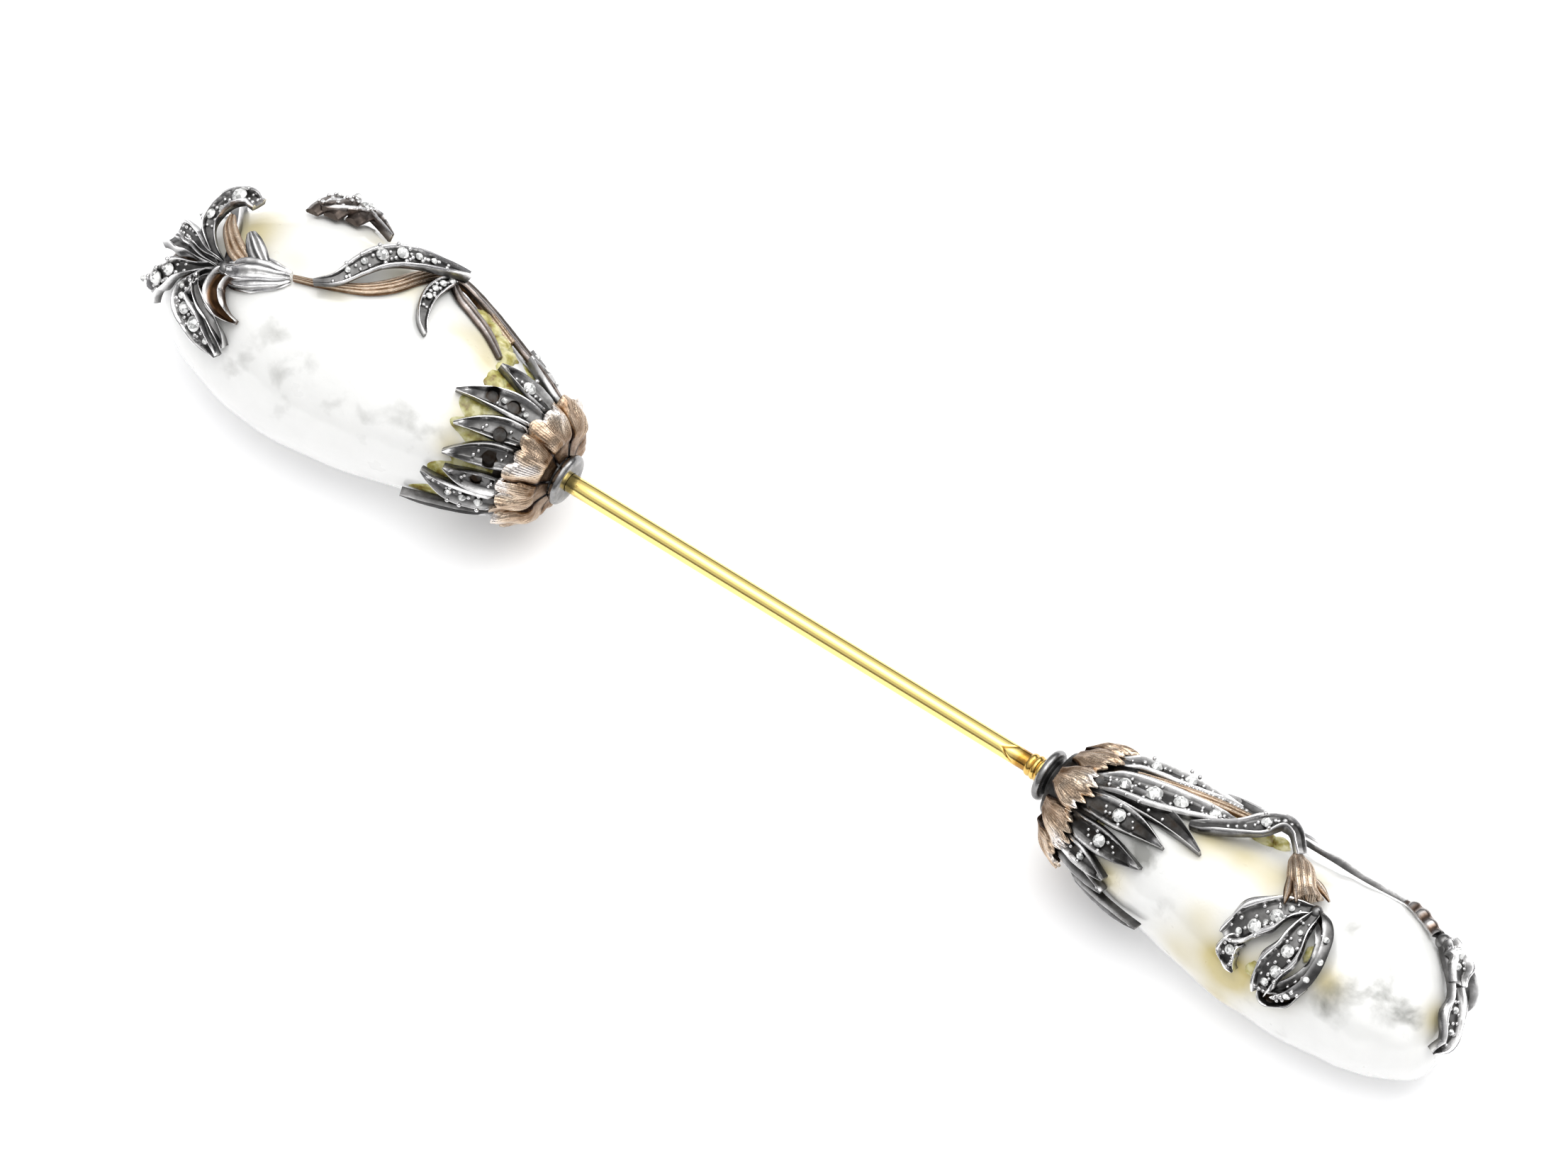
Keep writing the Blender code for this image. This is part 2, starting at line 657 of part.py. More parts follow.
def ring_solid(around_count, rows, place):
    """A closed ring-shaped solid from a grid wrapped once round: place(around, t, top)."""
    bm = bmesh.new()
    bmesh.ops.create_grid(bm, x_segments=around_count, y_segments=rows, size=1.0)
    for vert in bm.verts:
        angle = math.pi * vert.co.x
        radius = 2.0 + vert.co.y
        vert.co = (radius * math.cos(angle), radius * math.sin(angle), 0.0)
    bmesh.ops.remove_doubles(bm, verts=bm.verts[:], dist=1e-5)
    raised = bmesh.ops.extrude_face_region(bm, geom=bm.faces[:], use_keep_orig=True)
    upper = {element for element in raised["geom"] if isinstance(element, bmesh.types.BMVert)}
    for vert in bm.verts:
        around = math.degrees(math.atan2(vert.co.y, vert.co.x))
        t = (vert.co.xy.length - 1.0) / 2.0
        vert.co = place(around, t, 1 if vert in upper else 0)
    bmesh.ops.recalc_face_normals(bm, faces=bm.faces[:])
    return bm


def rim_share(s, t):
    """0 on the sunk floor of a leaf and at its root, 1 on its raised edge."""
    return min(max((abs(s) - 0.74) / 0.26, 0.0), 1.0) * min(t / 0.35, 1.0)


def spread_across(s):
    """Grid columns moved towards the edges, where the rim is."""
    return math.copysign(abs(s) ** 0.4, s)


def band_frame(head, rows, t):
    """Centre, direction across, direction out, lift and half width of a band at t."""
    step = 0.02
    low, high = max(t - step, 0.0), min(t + step, 1.0)
    along, around, lift, width, lean = spread(rows, t)
    centre, out = head.lifted(along, around, lift * RELIEF)
    before = spread(rows, low)
    after = spread(rows, high)
    ahead = (
        head.lifted(after[0], after[1], after[2] * RELIEF)[0]
        - head.lifted(before[0], before[1], before[2] * RELIEF)[0]
    ).normalized()
    out = (out - ahead * out.dot(ahead)).normalized()
    aside = ahead.cross(out) * head.side
    turn = Matrix.Rotation(math.radians(lean) * head.side, 3, ahead)
    return centre, turn @ aside, turn @ out, width * BAND_HALF_WIDTH


def band_solid(head, rows, across=4, lengthwise=10, thickness=BAND_THICKNESS, rim=BAND_RIM):
    """A petal, leaf or vine: a strip with raised rims that follows its rows."""

    def place(s, t, top):
        s = spread_across(s)
        centre, aside, out, half_width = band_frame(head, rows, t)
        height = thickness + rim * rim_share(s, t) if top else 0.0
        return centre + aside * (s * half_width) + out * height

    return sheet_solid(across, lengthwise, place)


def crowned_solid(head, rows, lengthwise, thickness):
    """A stem or calyx: a strip with a crowned top."""

    def place(s, t, top):
        centre, aside, out, half_width = band_frame(head, rows, t)
        height = thickness * (1.0 - 0.6 * s * s) if top else 0.0
        return centre + aside * (s * half_width) + out * height

    return sheet_solid(3, lengthwise, place)


def leaf_solid(head, row, across=4, lengthwise=5):
    """A cap leaf that lies on the pearl, with a sunk floor between raised rims."""
    root_along, root_around, tip_along, tip_around, bend, width, layer = row
    underside = LEAF_UNDERSIDE + layer * LEAF_LAYER

    def middle(t):
        along = root_along + (tip_along - root_along) * t
        around = root_around + (tip_around - root_around) * t + bend * math.sin(math.pi * t)
        return along, around

    def place(s, t, top):
        s = spread_across(s)
        along, around = middle(t)
        centre, out = head.lifted(along, around, 0.0)
        ahead = head.lifted(*middle(t + 0.03), 0.0)[0] - head.lifted(*middle(t - 0.03), 0.0)[0]
        aside = ahead.cross(out).normalized() * head.side
        half_width = eased(LEAF_OUTLINE, t)[0] * width * LEAF_HALF_WIDTH
        height = 0.0
        if top:
            height = LEAF_THICKNESS + LEAF_RIM * rim_share(s, t)
        here = head.place(centre + aside * (s * half_width))
        return head.lifted(*here, underside + height)[0]

    return sheet_solid(across, lengthwise, place)


def cup_start(head):
    """Where a cap's cup begins, as a share of the head's length."""
    return (COLLAR_THICKNESS / 2 + NECK_LENGTH - CUP_LEAD) / head.length


def cup_solid(head, end):
    """The cup that holds the pearl's end, from the neck to a share of the head's length."""
    start = cup_start(head)

    def place(around, t, top):
        lift = CUP_UNDERSIDE + CUP_THICKNESS * top
        return head.lifted(start + (end - start) * t, around, lift)[0]

    return ring_solid(20, 3, place)


def gold_leaves(head, name, end, first_around, outline, material, collection):
    """The ring of lobed gold leaves, joined at the neck and notched between leaves and lobes."""
    start = cup_start(head)
    base = CUP_UNDERSIDE + CUP_THICKNESS + METAL_GAP

    def place(around, t, top):
        share = ((around - first_around) * GOLD_LEAVES / 360.0) % 1.0
        from_middle = abs(share - 0.5) * 2.0
        reach = eased(outline, from_middle)[0]
        along = start + (end - start) * t * reach
        crown = (1.0 - from_middle**2) * t
        lift = base + GOLD_FLARE * min(t * reach * 1.3, 1.0) + LEAF_LAYER * crown
        return head.lifted(along, around, lift + GOLD_THICKNESS * top)[0]

    bm = ring_solid(GOLD_LEAVES * 6, 3, place)
    return add_object(name, bm, material, collection)


def collar_profile(head, peg_radius, peg_end, bore_radius, bore_end):
    """Outline of a collar, neck, flange and peg, from the peg's end to the bottom of the bore."""
    face = -COLLAR_THICKNESS / 2
    back = COLLAR_THICKNESS / 2
    edge = COLLAR_DIAMETER / 2
    neck = NECK_DIAMETER / 2
    flange_start = back + NECK_LENGTH
    flange_end = flange_start + FLANGE_THICKNESS
    width, height, aside, up = head.section((flange_start + flange_end) / 2 / head.length)
    flange = min(width, height) + CUP_UNDERSIDE + CUP_THICKNESS * 0.6
    return (
        (0.0, peg_end),
        (peg_radius, peg_end),
        (peg_radius, flange_end),
        (flange, flange_end),
        (flange, flange_start),
        (neck + NECK_LENGTH * 0.35, flange_start - NECK_LENGTH * 0.35),
        (neck, back + NECK_LENGTH * 0.30),
        (neck + NECK_LENGTH * 0.12, back + NECK_LENGTH * 0.05),
        (edge * 0.84, back * 0.80),
        (edge * 0.97, back * 0.40),
        (edge, 0.0),
        (edge * 0.96, face * 0.66),
        (edge * 0.86, face),
        (bore_radius, face),
        (bore_radius, bore_end),
        (0.0, bore_end),
    )


def turned_object(name, start, side, profile, material, collection):
    """A profile of radius and distance from a start on the rod's axis, turned about that axis."""
    mesh = bpy.data.meshes.new(name)
    points = [(radius, 0.0, distance) for radius, distance in profile]
    edges = [(index, index + 1) for index in range(len(points) - 1)]
    mesh.from_pydata(points, edges, [])
    mesh.materials.append(material)
    item = bpy.data.objects.new(name, mesh)
    collection.objects.link(item)
    screw = item.modifiers.new("turned", "SCREW")
    screw.steps = TURNED_STEPS
    screw.render_steps = TURNED_STEPS
    screw.use_merge_vertices = True
    screw.merge_threshold = 1e-6
    item.location = (start, 0.0, 0.0)
    item.rotation_euler = (0.0, side * math.pi / 2, 0.0)
    return item


def bore_radius():
    """Radius of the socket that the rod slides in."""
    return ROD_DIAMETER / 2 + SLIDING_GAP


def socket_end(head):
    """Distance from the right collar's middle to the bottom of its socket."""
    return ROD_IN_SOCKET - COLLAR_THICKNESS / 2 + SLIDING_GAP


def make_pearl(name, head, peg_radius, peg_end, material, collection, helpers):
    """A pearl: a sphere moved to the head's form, ground flat at the collar's end and drilled."""
    start = (COLLAR_THICKNESS / 2 + NECK_LENGTH + FLANGE_THICKNESS + PEARL_GAP) / head.length
    bm = bmesh.new()
    bmesh.ops.create_uvsphere(bm, u_segments=PEARL_SIDES, v_segments=PEARL_RINGS, radius=1.0)
    for vert in bm.verts:
        ring = round(math.acos(max(min(vert.co.z, 1.0), -1.0)) / math.pi * PEARL_RINGS)
        share = max(ring - 1, 0) / (PEARL_RINGS - 1)
        along = start + (1.0 - start) * (1.0 - math.cos(math.pi * share)) / 2.0
        around = math.degrees(math.atan2(vert.co.y, vert.co.x))
        if ring == 0:
            width, height, aside, up = head.section(start)
            vert.co = (head.side * (head.start + start * head.length), aside, up)
        else:
            vert.co = head.point(along, around)
    bmesh.ops.recalc_face_normals(bm, faces=bm.faces[:])
    pearl = add_object(name, bm, material, collection)
    drill = bmesh.new()
    depth = peg_end + PEARL_GAP * 2
    bmesh.ops.create_cone(
        drill,
        cap_ends=True,
        segments=TURNED_STEPS,
        radius1=peg_radius + PEARL_GAP,
        radius2=peg_radius + PEARL_GAP,
        depth=depth,
        matrix=Matrix.Translation((head.side * (head.start + depth / 2), 0.0, 0.0))
        @ Matrix.Rotation(math.pi / 2, 4, "Y"),
    )
    cutters = make_collection(name + "_drill", helpers)
    as_helper(add_object(name + "_bore", drill, None, cutters))
    boolean(pearl, "DIFFERENCE", cutters)
    return pearl


def seat_cutter(head, along, around, width):
    """A round cutter for an empty stone seat in a cap leaf."""
    floor = LEAF_UNDERSIDE + LEAF_THICKNESS - SEAT_DEPTH
    depth = SEAT_DEPTH + LEAF_RIM * 3
    centre, out = head.lifted(along, around, floor + depth / 2)
    bm = bmesh.new()
    bmesh.ops.create_cone(
        bm,
        cap_ends=True,
        segments=10,
        radius1=width * 0.40,
        radius2=width * 0.62,
        depth=depth,
        matrix=Matrix.Translation(centre) @ out.to_track_quat("Z", "Y").to_matrix().to_4x4(),
    )
    return bm


def make_cap(name, head, profile, leaves, cup_end, bands, material, collection, helpers):
    """Collar, neck, peg, cup and leaves, soldered into one piece."""
    cap = turned_object(name, head.side * head.start, head.side, profile, material, collection)
    joined = make_collection(name + "_leaves", helpers)
    as_helper(add_object(name + "_cup", cup_solid(head, cup_end), None, joined))
    for index, row in enumerate(leaves):
        hidden = row[1] > 160
        bm = leaf_solid(head, row, 2 if hidden else 4, 3 if hidden else 5)
        as_helper(add_object(f"{name}_leaf_{index + 1}", bm, None, joined))
    for index, rows in enumerate(bands):
        bm = band_solid(head, rows, 4, 6, LEAF_THICKNESS, LEAF_RIM)
        as_helper(add_object(f"{name}_long_leaf_{index + 1}", bm, None, joined))
    boolean(cap, "UNION", joined)
    return cap


def cut_empty_seats(cap, head, helpers):
    """Open the seats that lost their stones."""
    cutters = make_collection(cap.name + "_seats", helpers)
    for index, (along, around, width) in enumerate(EMPTY_SEATS):
        bm = seat_cutter(head, along, around, width * EMPTY_SEAT_WIDTH)
        as_helper(add_object(f"{cap.name}_seat_{index + 1}", bm, None, cutters))
    boolean(cap, "DIFFERENCE", cutters)


def make_band(name, head, rows, material, collection, lengthwise=10):
    """One vine or leaf that is a node of its own."""
    return add_object(name, band_solid(head, rows, 4, lengthwise), material, collection)


def make_stem(name, head, rows, material, collection, lengthwise=12):
    """A stem with a crowned top that lies on the pearl."""
    return add_object(name, crowned_solid(head, rows, lengthwise, STEM_THICKNESS), material, collection)


def knob(head, along, around, lift, radius):
    """A rounded lump of metal that holds petals together."""
    centre, out = head.lifted(along, around, lift)
    bm = bmesh.new()
    bmesh.ops.create_icosphere(bm, subdivisions=2, radius=radius)
    bmesh.ops.translate(bm, verts=bm.verts[:], vec=centre)
    return bm


def make_flower(name, head, petals, heart, material, collection, helpers):
    """A flower: a heart of metal with its petals soldered to it."""
    along, around, lift, radius = heart
    bm = knob(head, along, around, lift * RELIEF, radius * RELIEF)
    flower = add_object(name, bm, material, collection)
    joined = make_collection(name + "_petals", helpers)
    for petal, rows in petals.items():
        petal_bm = band_solid(head, rows, 4, len(rows))
        as_helper(add_object(f"{name}_{petal}", petal_bm, None, joined))
    boolean(flower, "UNION", joined)
    return flower


def make_calyx(name, head, parts, material, collection, helpers):
    """A calyx: a bell of metal with its lobes soldered to it."""
    bell = crowned_solid(head, parts["bell"], 5, CALYX_THICKNESS)
    calyx = add_object(name, bell, material, collection)
    lobes = {part: rows for part, rows in parts.items() if part != "bell"}
    if lobes:
        joined = make_collection(name + "_lobes", helpers)
        for part, rows in lobes.items():
            lobe = crowned_solid(head, rows, 4, CALYX_THICKNESS * 0.6)
            as_helper(add_object(f"{name}_{part}", lobe, None, joined))
        boolean(calyx, "UNION", joined)
    return calyx


def make_rod(material, collection):
    """The pin's rod: its left end in the left collar, its point in the right head's socket."""
    radius = ROD_DIAMETER / 2
    left = -ROD_SHOWN / 2 - ROD_SEATED + SOLDER_GAP
    tip = ROD_SHOWN / 2 + ROD_IN_SOCKET
    profile = (
        (0.0, tip),
        (radius * 0.16, tip),
        (radius * 0.60, tip - ROD_POINT * 0.4),
        (radius, tip - ROD_POINT),
        (radius, left),
        (0.0, left),
    )
    return turned_object("pin_rod", 0.0, 1, profile, material, collection)


def make_ferrule(material, collection):
    """The stepped ring on the rod, against the right collar."""
    inner = ROD_DIAMETER / 2 + SOLDER_GAP
    outer = inner + FERRULE_WALL
    groove = inner + FERRULE_WALL * 0.5
    end = -COLLAR_THICKNESS / 2 - SOLDER_GAP
    step = FERRULE_LENGTH / 5
    profile = (
        (inner, end),
        (outer, end),
        (outer, end - step),
        (groove, end - step * 1.4),
        (groove, end - step * 1.8),
        (outer, end - step * 2.2),
        (outer, end - step * 3.2),
        (groove, end - step * 3.6),
        (groove, end - step * 5.0),
        (inner, end - step * 5.0),
        (inner, end),
    )
    return turned_object("pin_ferrule", RIGHT.start, 1, profile, material, collection)


def stone_shape(width):
    """A rose-cut stone on a flat base, with a small table."""
    radius = width / 2
    height = width * STONE_HEIGHT_SHARE
    bm = bmesh.new()
    rings = ((STONE_SIDES, radius, 0.0), (STONE_SIDES // 2, radius * TABLE_SHARE, height))
    for count, ring_radius, level in rings:
        for index in range(count):
            angle = 2.0 * math.pi * index / count
            bm.verts.new((ring_radius * math.cos(angle), ring_radius * math.sin(angle), level))
    bmesh.ops.convex_hull(bm, input=bm.verts[:])
    bmesh.ops.recalc_face_normals(bm, faces=bm.faces[:])
    return bm


def carrier_tree(item):
    """The carrier's finished surface, for finding where a stone sits."""
    graph = bpy.context.evaluated_depsgraph_get()
    evaluated = item.evaluated_get(graph)
    mesh = evaluated.to_mesh()
    bm = bmesh.new()
    bm.from_mesh(mesh)
    bm.transform(item.matrix_world)
    tree = BVHTree.FromBMesh(bm)
    bm.free()
    evaluated.to_mesh_clear()
    return tree


def seat_of(tree, head, along, around, lift, width):
    """Where a stone of this width sits on its carrier, and the way that it faces."""
    probe, out = head.lifted(along, around, lift * RELIEF)
    ring = [Vector((0.0, 0.0, 0.0))]
    for share in (0.5, 1.0):
        for index in range(STONE_SIDES):
            angle = 2.0 * math.pi * index / STONE_SIDES
            ring.append(Vector((math.cos(angle), math.sin(angle), 0.0)) * (width / 2 * share))
    first = tree.ray_cast(probe, -out, (lift + 1.0) * RELIEF)
    centre = first[0] or tree.find_nearest(probe)[0]
    axis = out.copy()
    flat = out.to_track_quat("Z", "Y").to_matrix()
    for offset in ring[: STONE_SIDES + 1]:
        hit, normal, face, distance = tree.ray_cast(centre + flat @ offset + out * width, -out, 2.0 * width)
        if hit is not None and normal.dot(out) > 0.7:
            axis += normal
    axis.normalize()
    turn = axis.to_track_quat("Z", "Y").to_matrix()
    highest = 0.0
    for offset in ring:
        hit = tree.ray_cast(centre + turn @ offset + axis * width, -axis, 2.0 * width)[0]
        if hit is not None:
            highest = max(highest, (hit - centre).dot(axis))
    return centre + axis * (highest + SEAT_GAP), turn


def make_stones(head, rows, carriers, material, collection):
    """Each main stone on the metal that carries it."""
    trees = {name: carrier_tree(item) for name, item in carriers.items()}
    stones = []
    for name, carrier, along, around, lift, share in rows:
        width = share * STONE_WIDTH
        seat, turn = seat_of(trees[carrier], head, along, around, lift, width)
        stone = add_object(name, stone_shape(width), material, collection)
        stone.data.shade_flat()
        stone.location = seat
        stone.rotation_euler = turn.to_euler()
        stones.append(stone)
    return stones


def height_and_middle(items):
    """The lowest point and the middle of the pieces' box."""
    graph = bpy.context.evaluated_depsgraph_get()
    low = Vector((math.inf,) * 3)
    high = Vector((-math.inf,) * 3)
    for item in items:
        evaluated = item.evaluated_get(graph)
        mesh = evaluated.to_mesh()
        for vert in mesh.vertices:
            point = item.matrix_world @ vert.co
            low = Vector(map(min, low, point))
            high = Vector(map(max, high, point))
        evaluated.to_mesh_clear()
    return low.z, (low + high) / 2


def hang_on_empties(pin, helpers):
    """Parent each head to an empty on the rod's axis, and stand the pin on the ground."""
    bpy.context.view_layer.update()
    lowest, middle = height_and_middle(pin.objects)
    everything = list(pin.objects) + list(helpers.all_objects)
    base = bpy.data.objects.new("pin_axis", None)
    head = bpy.data.objects.new("right_head_axis", None)
    pin.objects.link(base)
    pin.objects.link(head)
    base.location = (-middle.x, -middle.y, -lowest)
    head.location = (RIGHT.start, 0.0, 0.0)
    head.parent = base
    for item in everything:
        if item.name.startswith("right"):
            item.parent = head
            item.matrix_parent_inverse = Matrix.Translation((-RIGHT.start, 0.0, 0.0))
        else:
            item.parent = base
    bpy.context.view_layer.update()


def build():
    """Make every piece, head by head, then set the pin down."""
    clear_scene()
    pin = make_collection("jabot_pin")
    helpers = make_collection("joining_pieces")
    silver = make_material("oxidised_silver", (0.09, 0.09, 0.10), 1.0, 0.35)
    rose = make_material("rose_gold", (0.62, 0.36, 0.25), 1.0, 0.45)
    gold = make_material("yellow_gold", (0.86, 0.62, 0.18), 1.0, 0.15)
    nacre = make_material("nacre", (0.86, 0.85, 0.80), 0.0, 0.25)
    diamond = make_material("diamond", (0.80, 0.80, 0.80), 0.0, 0.05)

    left_peg = LEFT_PEG_DIAMETER / 2
    left_end = COLLAR_THICKNESS / 2 + NECK_LENGTH + LEFT_PEG_LENGTH
    left_bore = ROD_DIAMETER / 2 + SOLDER_GAP
    left_profile = collar_profile(LEFT, left_peg, left_end, left_bore, ROD_SEATED - COLLAR_THICKNESS / 2)
    make_pearl("left_pearl", LEFT, left_peg, left_end, nacre, pin, helpers)
    left_cap = make_cap(
        "left_cap", LEFT, left_profile, LEFT_CAP_LEAVES, LEFT_CUP_SHARE, (), silver, pin, helpers
    )
    cut_empty_seats(left_cap, LEFT, helpers)
    gold_leaves(
        LEFT, "left_gold_leaves", LEFT_GOLD_SHARE, LEFT_GOLD_TURN, LEFT_GOLD_OUTLINE, rose, pin
    )
    make_stem("left_stem", LEFT, LEFT_STEM, rose, pin)
    left_vine_leaf = make_band("left_vine_leaf", LEFT, VINE_LEAF, silver, pin, 11)
    left_hook_leaf = make_band("left_hook_leaf", LEFT, HOOK_LEAF, silver, pin, 8)
    left_bud = make_band("left_bud", LEFT, BUD, silver, pin, 6)
    make_calyx("left_calyx", LEFT, LEFT_CALYX, rose, pin, helpers)
    left_flower = make_flower(
        "left_flower", LEFT, LEFT_PETALS, LEFT_HEART, silver, pin, helpers
    )

    socket_radius = bore_radius() + SOCKET_WALL
    right_end = socket_end(RIGHT) + SOCKET_FLOOR
    right_profile = collar_profile(RIGHT, socket_radius, right_end, bore_radius(), socket_end(RIGHT))
    make_pearl("right_pearl", RIGHT, socket_radius, right_end, nacre, pin, helpers)
    right_cap = make_cap(
        "right_cap", RIGHT, right_profile, RIGHT_CAP_LEAVES, RIGHT_CUP_SHARE,
        (LONG_LEAF, FAR_LEAF), silver, pin, helpers,
    )
    gold_leaves(
        RIGHT, "right_gold_leaves", RIGHT_GOLD_SHARE, RIGHT_GOLD_TURN, RIGHT_GOLD_OUTLINE, rose, pin
    )
    make_stem("right_gold_stem", RIGHT, RIGHT_GOLD_STEM, rose, pin)
    right_vine = make_band("right_vine", RIGHT, RIGHT_VINE, silver, pin, 12)
    make_band("right_far_vine", RIGHT, FAR_VINE, silver, pin, 10)
    make_calyx("right_calyx", RIGHT, RIGHT_CALYX, rose, pin, helpers)
    right_flower = make_flower(
        "right_flower", RIGHT, RIGHT_PETALS, RIGHT_HEART, silver, pin, helpers
    )
    make_calyx("right_end_calyx", RIGHT, END_CALYX, rose, pin, helpers)
    right_end_flower = make_flower(
        "right_end_flower", RIGHT, END_PETALS, END_HEART, silver, pin, helpers
    )

    make_rod(gold, pin)
    make_ferrule(gold, pin)

    bpy.context.view_layer.update()
    left_carriers = {
        item.name: item for item in (left_cap, left_vine_leaf, left_hook_leaf, left_flower, left_bud)
    }
    right_carriers = {
        item.name: item for item in (right_cap, right_vine, right_flower, right_end_flower)
    }
    make_stones(LEFT, LEFT_STONES, left_carriers, diamond, pin)
    make_stones(RIGHT, RIGHT_STONES, right_carriers, diamond, pin)

    hang_on_empties(pin, helpers)


build()
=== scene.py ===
"""Jabot pin: finished surfaces for a gold rod and two baroque pearl heads in silver and gold leaves.

A place on a head is given by along, the share of the head's length from its collar, by around, the
angle in degrees about the rod (0 faces -Y, 90 is the top), and by lift, the height above the pearl.
"""

import math
from functools import cache, partial

import bmesh
import bpy
from mathutils import Matrix, Vector, noise
from mathutils.bvhtree import BVHTree


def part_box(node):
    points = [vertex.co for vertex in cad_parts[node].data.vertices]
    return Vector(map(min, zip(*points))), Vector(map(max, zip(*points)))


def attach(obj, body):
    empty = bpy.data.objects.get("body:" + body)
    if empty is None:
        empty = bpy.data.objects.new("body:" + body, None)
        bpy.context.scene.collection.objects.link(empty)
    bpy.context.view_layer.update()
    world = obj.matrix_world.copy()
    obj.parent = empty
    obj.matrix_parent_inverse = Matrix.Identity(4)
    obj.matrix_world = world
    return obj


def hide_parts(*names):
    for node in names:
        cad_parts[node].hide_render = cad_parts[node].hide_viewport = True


bl_info = {
    "name": "Jabot Pin",
    "version": (1, 0, 0),
    "blender": (4, 5, 0),
    "location": "View3D > Sidebar > Jabot Pin",
    "description": "Finishes a two-headed jabot pin around its packed frame",
    "category": "Object",
}

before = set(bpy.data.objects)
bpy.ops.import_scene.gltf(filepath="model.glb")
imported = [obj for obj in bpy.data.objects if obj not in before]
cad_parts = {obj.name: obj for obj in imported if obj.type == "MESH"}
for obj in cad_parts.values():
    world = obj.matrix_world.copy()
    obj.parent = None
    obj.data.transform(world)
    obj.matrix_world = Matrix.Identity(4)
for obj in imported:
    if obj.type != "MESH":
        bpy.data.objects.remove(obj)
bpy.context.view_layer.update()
MM = 0.001

# The rod's axis and the collars' places come from the frame
ROD_LOW, ROD_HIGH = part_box("pin_rod")
ROD_RADIUS = (ROD_HIGH.z - ROD_LOW.z) / 2
ROD_SHOWN = 34.9 * MM
ROD_SEATED = 0.87 * MM
ROD_POINT = 3.0 * MM
AXIS = Vector((
    ROD_LOW.x + ROD_SEATED + ROD_SHOWN / 2,
    (ROD_LOW.y + ROD_HIGH.y) / 2,
    (ROD_LOW.z + ROD_HIGH.z) / 2,
))
COLLAR_THICKNESS = 0.6 * MM
COLLAR_DIAMETER = 3.36 * MM
NECK_DIAMETER = 2.1 * MM
NECK_LENGTH = 0.75 * MM
FLANGE_THICKNESS = 0.24 * MM
FERRULE_LENGTH = 1.1 * MM
FERRULE_WALL = 0.22 * MM
FERRULE_BEADS = 3
FERRULE_CLEARANCE = 0.02 * MM
COLLAR_CLEARANCE = 0.03 * MM
SOCKET_RADIUS = 0.68 * MM
SOCKET_WALL = 0.3 * MM
SOCKET_DEPTH = 8.78 * MM
SOCKET_END_WALL = 0.4 * MM
LEFT_BORE_DEPTH = 0.6 * MM
LEFT_PEG_RADIUS = 0.8 * MM
LEFT_PEG_LENGTH = 5.0 * MM
LEFT_PEG_END = COLLAR_THICKNESS / 2 + NECK_LENGTH + LEFT_PEG_LENGTH
RIGHT_PEG_RADIUS = SOCKET_RADIUS + SOCKET_WALL
RIGHT_PEG_END = SOCKET_DEPTH + SOCKET_END_WALL
PEARL_GAP = 0.1 * MM
# The v-shaped mark on the rod: places are measured back from the right collar
MARKED_START = 4.0 * MM
MARKED_LENGTH = 3.9 * MM
NOTCH_PLACE = 3.2 * MM
NOTCH_TURN = 62.0
NOTCH_ARM = 60.0
NOTCH_SLOPE = 0.014 * MM
NOTCH_WIDTH = 0.09 * MM
NOTCH_DEPTH = 0.05 * MM
TARNISH_START = 2.8 * MM
TARNISH_FULL = 1.6 * MM
# How finely the sections are worked out, and how near a place its direction is looked for
FINE_SECTIONS = 3000
NEAR_AHEAD = 0.004
NEAR_ROUND = 2.0
LAST_PLACE = 0.994
BAND_STEP = 0.02
LEAF_STEP = 0.03

LEFT_HEAD_LENGTH = 28.5 * MM
RIGHT_HEAD_LENGTH = 29.5 * MM
LEFT_PEARL_SIZE = (14.6 * MM, 12.4 * MM)
RIGHT_PEARL_SIZE = (10.7 * MM, 9.6 * MM)
PEARL_RINGS = 120
PEARL_SEGMENTS = 160
WAVE_SIZE = 3.2 * MM
RIPPLE_SIZE = 1.2 * MM

CUP_UNDERSIDE = 0.1 * MM
CUP_THICKNESS = 0.24 * MM
CUP_LEAD = 0.1 * MM
LEAF_UNDERSIDE = 0.14 * MM
LEAF_THICKNESS = 0.32 * MM
LEAF_RIM = 0.27 * MM
LEAF_HALF_WIDTH = 0.78 * MM
LEAF_LAYER = 0.1 * MM
GOLD_THICKNESS = 0.16 * MM
GOLD_FLARE = 0.34 * MM
GOLD_LEAVES = 8
GOLD_LAYER = 0.18 * MM
METAL_GAP = 0.05 * MM
LEFT_CUP_SHARE = 0.115
RIGHT_CUP_SHARE = 0.165
EMPTY_SEAT_WIDTH = 0.80 * MM
SEAT_FLOOR = 0.06 * MM
SEAT_CUT_DEPTH = 0.9 * MM
SEAT_REACH = 1.6 * MM
SEAT_PROBES = 12
STONE_LIFT = 0.15 * MM
BAND_THICKNESS = 0.45 * MM
BAND_RIM = 0.18 * MM
PETAL_THICKNESS = 0.40 * MM
PETAL_RIM = 0.28 * MM
PETAL_BOWL = 0.16 * MM
PETAL_WAVE = 0.10
STEM_THICKNESS = 0.55 * MM
FILM_THICKNESS = 0.15 * MM
FILM_EDGE = 0.01 * MM
FILM_SUNK = 0.03 * MM
FILM_SPREAD = 19.0
# Angles between faces past which an edge is sharp
EDGE_ANGLE = 50.0
SOFT_EDGE_ANGLE = 60.0

